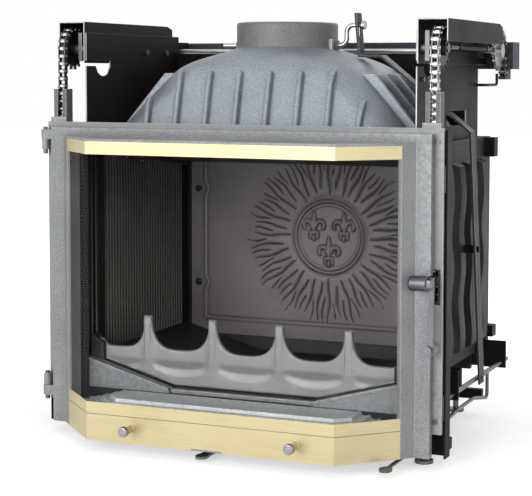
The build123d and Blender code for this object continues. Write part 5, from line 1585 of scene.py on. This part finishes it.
@dataclass
class ChainDrive:
    """Two roller chains, each in four stretches."""

    shop: Workshop
    pitch: float = 12.7 * MM
    teeth: int = 16
    center_x: float = 330.0 * MM
    front_y: float = 16.0 * MM
    axle_z: float = 652.0 * MM
    front_links: int = 40
    lifted_links: int = 30
    top_links: int = 26
    rear_links: int = 3
    roller: float = 4.2 * MM
    roller_half: float = 3.7 * MM
    pin: float = 1.9 * MM
    half_width: float = 8.0 * MM
    plate: float = 1.3 * MM
    gap: float = 0.15 * MM
    play: float = 0.1 * MM
    tall: float = 5.6 * MM
    waist: float = 4.2 * MM
    gathered: float = 1.2 * MM
    pressed: float = 0.004

    def centres(self) -> Array:
        """Depth and height of every pin, from the front end over the sprockets to the rear end.

        A sprocket's pins stand on a circle whose radius is half the pitch over the sine of half
        a tooth's turn.

        Returns:
            One row for each pin.
        """
        radius = self.pitch / 2.0 / sin(pi / self.teeth)
        front_axle = self.front_y + radius
        rear_axle = front_axle + self.top_links * self.pitch
        step = 2.0 * pi / self.teeth
        up = self.axle_z + (np.arange(self.front_links) - self.front_links) * self.pitch
        front = np.stack([np.full_like(up, self.front_y), up], axis=-1)
        along = front_axle + np.arange(self.top_links) * self.pitch
        over = np.stack([along, np.full_like(along, self.axle_z + radius)], axis=-1)
        bends = []
        for axle, start in ((front_axle, pi), (rear_axle, pi / 2.0)):
            turn = start - np.arange(self.teeth // 4) * step
            circle = np.stack([np.cos(turn), np.sin(turn)], axis=-1)
            bends.append(np.array([axle, self.axle_z]) + radius * circle)
        down = self.axle_z - np.arange(self.rear_links + self.lifted_links + 1) * self.pitch
        rear = np.stack([np.full_like(down, rear_axle + radius), down], axis=-1)
        return np.concatenate([front, bends[0], over, bends[1], rear])

    def bar(self, centre: Array, radius: float, half: float, count: int) -> Array:
        """Closed grid of a short round bar across the chain.

        Args:
            centre: Depth and height of its axis.
            radius: Its radius.
            half: Half of its length.
            count: Number of points round it.

        Returns:
            The grid.
        """
        profile = np.array([[radius, -half], [radius, half]])
        return turned(profile, (self.center_x, *centre), ACROSS, count)

    def side_plate(self, first: Array, second: Array, low: float, high: float) -> Array:
        """Closed grid of a link plate: two round ends and a waist between them.

        Args:
            first: Depth and height of the pin at one end.
            second: Depth and height of the pin at the other end.
            low: Distance of one flat face from the chain's middle plane.
            high: Distance of the other flat face.

        Returns:
            The grid.
        """
        ahead = second - first
        middle, length = (first + second) / 2.0, float(np.hypot(*ahead))
        ahead = ahead / length
        side = np.array([-ahead[1], ahead[0]])
        turn = np.radians([-75.0, -38.0, 0.0, 38.0, 75.0])
        end = np.stack([length / 2.0 + self.tall * np.cos(turn), self.tall * np.sin(turn)], axis=-1)
        outline = np.concatenate([end, [[0.0, self.waist]], -end, [[0.0, -self.waist]]])
        flat = middle + outline[:, :1] * ahead + outline[:, 1:] * side
        faces = (self.center_x + low, self.center_x + high)
        return np.stack([np.insert(flat, 0, x, axis=1) for x in faces])

    def links(self, centres: Array, offset: int) -> Shell:
        """Builds a stretch of chain.

        Args:
            centres: Its pins.
            offset: Number of the first link, which says whether it is a narrow or a wide one.

        Returns:
            The stretch on the right hand side.
        """
        shell = Shell()
        narrow = self.roller_half + self.gap
        wide = narrow + self.plate + self.play
        for pin in centres:
            for radius, half, count in (
                (self.roller, self.roller_half, 14),
                (self.pin, self.half_width, 10),
            ):
                shell.grid(self.bar(pin, radius, half, count), around=True, ends=True, tone=1)
        for count, (first, second) in enumerate(zip(centres, centres[1:])):
            start = narrow if (count + offset) % 2 == 0 else wide
            for side in (-1.0, 1.0):
                low, high = sorted((side * start, side * (start + self.plate)))
                shell.grid(self.side_plate(first, second, low, high), around=True, ends=True)
        return shell

    def gathered_links(self, shell: Shell, top: float) -> None:
        """Gathers the hidden stretch towards its upper end.

        Each point's gathered height is the inverse of a smooth step of the height: one half less
        the sine of a third of the arc sine of one less two shares.

        Args:
            shell: The stretch at its full length.
            top: Height of its upper end.
        """
        length = self.lifted_links * self.pitch
        for points in shell.points:
            share = np.clip((top - points[:, 2]) / length, 0.0, 1.0)
            drawn = 0.5 - np.sin(np.arcsin(1.0 - 2.0 * share) / 3.0)
            points[:, 2] = top - drawn * self.gathered

    def build(self) -> None:
        """Builds both chains in four stretches: still, gathered, front and riding."""
        centres = self.centres()
        squashed = self.lifted_links + 1
        still_end = self.front_links + self.teeth // 2 + self.top_links
        rear = centres[still_end:]
        tail = rear[: self.rear_links + 1]
        stretch = rear[: self.lifted_links + 1]
        runs = {
            "still": self.links(centres[self.lifted_links : still_end + 1], self.lifted_links),
            "front": self.links(centres[:squashed], 0),
            "tail": self.links(tail, still_end),
            "rear": self.links(stretch, still_end + 1),
        }
        top = float(tail[0, 1])
        self.gathered_links(runs["rear"], top)
        for side in ("right", "left"):
            for run, shell in runs.items():
                made = shell if side == "right" else shell.mirrored()
                piece = made.build(f"chain_{side}.{run}", "chain", 40.0, "roller")
                if run == "rear":
                    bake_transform(piece)
                    self.shop.note(piece, Slot.STEEL)
                elif run == "tail":
                    self.shop.place(piece, Body.WEIGHT, Slot.STEEL)
                elif run == "still":
                    self.shop.place(piece, Body.FIREBOX, Slot.STEEL, f"chain_{side}")
                else:
                    self.shop.place(piece, Body.FIREBOX, Slot.STEEL)
                    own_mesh(piece)


@dataclass
class Threshold:
    """Ridged steps that follow the prism inside the glass, and the aprons beside the hearth.

    The aprons' outlines hold distances across and heights, in millimetres.
    """

    shop: Workshop
    knee: float = 214.4 * MM
    inset: float = 10.5 * MM
    back_y: float = 12.0 * MM
    low: float = 54.0 * MM
    half: float = 284.0 * MM
    ridges: Rows = ((9.0, 63.5), (21.0, 68.0), (33.0, 72.5))
    cheek: Rows = ((131.0, 77.2), (283.5, 77.2), (283.5, 127.0), (131.0, 85.8))
    lip: Rows = ((131.0, 81.6), (283.5, 122.6), (283.5, 127.6), (131.0, 86.4))
    level: Rows = ((0.0, 77.2), (132.0, 77.2), (132.0, 84.0), (0.0, 84.0))

    def prism_line(self, inset: Array) -> Array:
        """Corners of the prism's outline in plan at each inset, from left to right.

        A slanting side moves inwards square to itself, so its ends move along the corners'
        bisectors.

        Args:
            inset: Distances from the outline.

        Returns:
            A grid with four points for each inset.
        """
        low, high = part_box("brass_lower_band")
        half, depth, start = high.x, -low.y, -high.y
        rise, run = depth - start, half - self.knee
        slant = hypot(run, rise)
        end_x = half - inset * slant / rise
        knee_x = self.knee - inset * (slant - run) / rise
        level = np.zeros_like(inset)
        return np.stack(
            [
                np.stack([-end_x, level - start], axis=-1),
                np.stack([-knee_x, inset - depth], axis=-1),
                np.stack([knee_x, inset - depth], axis=-1),
                np.stack([end_x, level - start], axis=-1),
            ],
            axis=1,
        )

    def profile(self) -> Array:
        """Inset from the glass and height of the steps, with a ridge along each step's edge.

        Returns:
            One row for each point, from the foot at the glass to the hearth.
        """
        points = [(0.0, 54.0), (0.0, 61.0), (1.0, 62.0), (5.0, 62.0), (6.0, 60.8), (8.0, 60.8)]
        for start, high in self.ridges:
            points += [
                (start, high - 2.5),
                (start + 0.6, high),
                (start + 2.2, high + 1.2),
                (start + 4.2, high + 1.2),
                (start + 5.4, high - 0.4),
                (start + 10.5, high + 0.4),
            ]
        points += [(45.0, 76.5), (46.0, 78.0), (49.0, 78.0), (50.0, 77.0), (58.0, 77.6)]
        return np.array(points) * MM

    def build(self) -> None:
        """Builds the steps, and closes them at the back and below."""
        profile = self.profile()
        plan = self.prism_line(self.inset + profile[:, 0])
        height = np.broadcast_to(profile[:, 1][:, None], plan.shape[:2])
        grid = np.concatenate([plan, height[..., None]], axis=-1)
        left, right = grid[:, :1].copy(), grid[:, -1:].copy()
        left[..., 1] = right[..., 1] = self.back_y
        grid = np.concatenate([left, grid, right], axis=1)
        grid[..., 0] = np.clip(grid[..., 0], -self.half, self.half)
        inner = grid[-1:].copy()
        inner[..., 1] = self.back_y
        foot = inner.copy()
        foot[..., 2] = self.low
        shell = Shell()
        shell.grid(np.concatenate([grid, inner, foot, grid[:1]]))
        piece = shell.build("threshold_steps", "sill", 30.0)
        self.shop.place(piece, Body.FIREBOX, Slot.CAST, "front_sill")
        self.build_aprons()

    def build_aprons(self) -> None:
        """Builds the sloping cheeks that carry the hearth's raised ends down to the steps.

        Each is a wedge under the hearth's line, with a raised lip along its top. A level bar
        between them, in two halves, closes the gap below the hearth's front edge.
        """
        bars = ((self.cheek, 16.0, 29.8), (self.lip, 13.6, 29.9), (self.level, 22.0, 29.7))
        shell = Shell()
        for outline, near, far in bars:
            for side in (-1.0, 1.0):
                flat = np.array(outline) * np.array([side, 1.0]) * MM
                rows = [np.insert(flat, 1, y * MM, axis=1) for y in (near, far)]
                shell.grid(np.stack(rows), around=True, ends=True)
        piece = shell.build("hearth_end_aprons", "apron", 30.0)
        self.shop.rounded(piece, 0.9 * MM, "ridge")
        self.shop.place(piece, Body.FIREBOX, Slot.CAST)


@dataclass
class Knobs:
    """Two steel knobs on brass collars, whose profiles hold radius and distance in millimetres."""

    shop: Workshop
    places: tuple[float, float] = (-132.5 * MM, 152.0 * MM)
    height: float = 45.5 * MM
    collar: Rows = (
        (6.5, 0.0),
        (6.5, 3.0),
        (5.6, 3.8),
        (5.6, 19.0),
        (6.3, 20.0),
        (6.5, 22.0),
        (0.01, 22.0),
    )
    knob: Rows = (
        (0.01, 22.0),
        (7.6, 22.0),
        (8.5, 22.9),
        (8.5, 29.0),
        (7.6, 30.6),
        (6.4, 31.0),
        (5.6, 30.5),
        (4.4, 30.5),
        (3.8, 30.9),
        (0.01, 31.0),
    )

    def build(self) -> None:
        """Builds the collars and the knobs as turned parts."""
        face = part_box("brass_lower_band")[0].y
        collars, heads = Shell(), Shell()
        for x in self.places:
            start = (x, face, self.height)
            for shell, profile in ((collars, self.collar), (heads, self.knob)):
                round_part = turned(np.array(profile) * MM, start, FORWARD, 40)
                shell.grid(round_part, around=True, ends=True)
        piece = collars.build("knob_brass_collars", "brass", 30.0)
        self.shop.place(piece, Body.DOOR, Slot.BRASS, "knob_collars")
        piece = heads.build("knob_heads", "knob", 30.0)
        self.shop.place(piece, Body.DOOR, Slot.DARK_STEEL, "pull_knobs")


@dataclass
class FixedCastings:
    """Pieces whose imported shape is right, with rounded edges and their finish."""

    shop: Workshop

    def build(self) -> None:
        """Softens or dresses every node that no other class replaces."""
        shop = self.shop
        shop.soften("frame", Slot.FRAME, 0.8 * MM, "carrier_frame", ridge="ridge")
        shop.soften("slide", Slot.FRAME, 0.4 * MM, "slider_left", "slider_right", ridge="ridge")
        shop.soften("door", Slot.CAST_GREY, 1.0 * MM, "door_frame", ridge="ridge")
        shop.soften("wall", Slot.CAST, 1.5 * MM, "side_wall_left", "side_wall_right", "back_wall")
        shop.soften("wall", Slot.CAST, 1.0 * MM, "top_plate")
        shop.soften(
            "chamber", Slot.CAST, 1.0 * MM, "front_frame", "hearth", "smoke_baffle", "grate"
        )
        shop.soften("liner", Slot.CAST, 0.3 * MM, "liner_left", "liner_right")
        shop.soften("chamber", Slot.CAST, 0.6 * MM, "retainer_brackets")
        shop.soften(
            "sheet",
            Slot.SHEET,
            0.4 * MM,
            "side_plate_left",
            "side_plate_right",
            "pulley_cover_left",
            "pulley_cover_right",
            "guide_post_left",
            "guide_post_right",
            "base_crossbars",
            "ash_box",
            "rod_brackets",
            "wall_clamps",
            cut=True,
        )
        shop.soften("lever", Slot.SHEET, 0.8 * MM, "damper_lever", ridge="steel")
        shop.soften("weight", Slot.DARK_STEEL, 0.8 * MM, "counterweight_bar", "chain_hangers")
        shop.soften("dark", Slot.DARK_STEEL, 0.8 * MM, "latch_lever")
        shop.dress("glass", "door_glass")
        shop.dress("brass", "brass_top_strip", "brass_upper_band", "brass_lower_band")
        shop.dress("steel", "sync_shaft", "weight_guides", "ash_pan", "damper_spindle")
        shop.dress("chamber", "damper_flap")
        shop.dress("black", "sprocket_left", "sprocket_right", "tension_spring", "spring_anchors")
        shop.dress(
            "dark",
            "carrier_screws",
            "chain_clevises",
            "hinge_pins",
            "control_rod",
            "air_slide",
            "feet",
            "axle_supports",
            "plate_bolts",
        )


@dataclass
class Studio:
    """Camera at the photograph's angle, pale floor, white surround and soft lamps."""

    position: Point = (1.03239, -2.19779, 0.61491)
    yaw: float = 21.951
    pitch: float = 3.880
    roll: float = 0.195
    lens: float = 102.07
    sensor: float = 36.0
    shift: tuple[float, float] = (-0.1013, -0.1397)
    world_light: float = 0.34
    floor_reach: float = 12.0
    floor_tones: tuple[float, float] = (0.93, 0.95)
    floor_near: float = 0.5
    glow_band: tuple[float, float] = (0.55, 1.6)
    aim: Point = (0.0, 0.15, 0.35)
    lamps: tuple[tuple[str, Point, float, float], ...] = (
        ("key", (-0.8, -3.4, 1.15), 78.0, 2.2),
        ("fill", (2.3, -2.2, 1.0), 26.0, 1.8),
        ("top", (0.0, 0.3, 2.9), 9.0, 1.8),
        ("rear", (0.6, 2.6, 1.8), 14.0, 1.6),
    )

    def build(self) -> None:
        """Builds the camera, the lamps, the surround and the floor."""
        bpy.context.scene.view_settings.view_transform = "Standard"
        self.make_camera()
        self.make_world()
        self.make_floor()
        for name, place, power, size in self.lamps:
            self.make_lamp(name, place, power, size)

    def make_camera(self) -> None:
        """Builds the camera from its heading, its dip and its roll."""
        yaw, pitch, roll = radians(self.yaw), radians(self.pitch), radians(self.roll)
        ahead = Vector((-sin(yaw) * cos(pitch), cos(yaw) * cos(pitch), -sin(pitch)))
        right = Vector((cos(yaw), sin(yaw), 0.0))
        up = right.cross(ahead)
        side = right * cos(roll) + up * sin(roll)
        top = up * cos(roll) - right * sin(roll)
        data = bpy.data.cameras.new("camera")
        data.lens, data.sensor_width = self.lens, self.sensor
        data.shift_x, data.shift_y = self.shift
        camera = bpy.data.objects.new("camera", data)
        camera.matrix_world = Matrix.Translation(self.position) @ Matrix(
            (side, top, -ahead)
        ).transposed().to_4x4()
        bpy.context.scene.collection.objects.link(camera)
        bpy.context.scene.camera = camera

    def make_world(self) -> None:
        """Builds a surround that looks white and lights the object softly."""
        world = bpy.data.worlds.new("studio")
        world.use_nodes = True
        world.node_tree.nodes.clear()
        sheet = NodeSheet(world.node_tree)
        strength = sheet.spread(sheet.seen(), 0.0, 1.0, self.world_light, 1.0)
        light = sheet.add(
            "ShaderNodeBackground", {"Color": (1.0, 1.0, 1.0, 1.0), "Strength": strength}
        )
        sheet.add("ShaderNodeOutputWorld", {"Surface": light.outputs[0]})
        bpy.context.scene.world = world

    def make_floor(self) -> None:
        """Builds the pale floor, which glows more away from the object and keeps its shadow."""
        mesh = bpy.data.meshes.new("floor")
        reach = self.floor_reach
        ring = ((-reach, -reach), (reach, -reach), (reach, reach), (-reach, reach))
        mesh.from_pydata([(x, y, 0.0) for x, y in ring], [], [(0, 1, 2, 3)])
        material, sheet, place = blank_material("studio_floor")
        tone = sheet.spread(sheet.noise(place, 3.0, 3.0), 0.3, 0.7, *self.floor_tones)
        flat = sheet.add("ShaderNodeVectorMath", {0: place}, operation="LENGTH").outputs["Value"]
        glow = sheet.spread(flat, *self.glow_band, self.floor_near, 1.0)
        light = sheet.math("MULTIPLY", sheet.seen(), glow)
        shader = sheet.add(
            "ShaderNodeBsdfPrincipled",
            {
                "Base Color": sheet.scaled((1.0, 1.0, 1.0), tone),
                "Roughness": 0.9,
                "Emission Color": sheet.scaled((1.0, 1.0, 1.0), light),
                "Emission Strength": 1.0,
            },
        )
        show(sheet, shader.outputs[0])
        mesh.materials.append(material)
        floor = bpy.data.objects.new("floor", mesh)
        bpy.context.scene.collection.objects.link(floor)

    def make_lamp(self, name: str, place: Point, power: float, size: float) -> None:
        """Builds a square soft lamp that points at the middle of the object.

        Args:
            name: The lamp's name.
            place: Where it stands.
            power: Its power in watts.
            size: Length of its sides.
        """
        data = bpy.data.lights.new(name, "AREA")
        data.energy, data.size = power, size
        lamp = bpy.data.objects.new(name, data)
        lamp.location = place
        aim = Vector(self.aim) - Vector(place)
        lamp.rotation_euler = aim.to_track_quat("-Z", "Y").to_euler()
        bpy.context.scene.collection.objects.link(lamp)


def main() -> None:
    """Builds the studio and every sub-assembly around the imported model."""
    logging.basicConfig(level=logging.INFO, format="%(message)s")
    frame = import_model()
    shop = Workshop(frame)
    Studio().build()
    for part in (FixedCastings, SmokeHood, Fireback, LogRetainer, ChainDrive, Threshold, Knobs):
        part(shop).build()


if __name__ == "__main__":
    main()
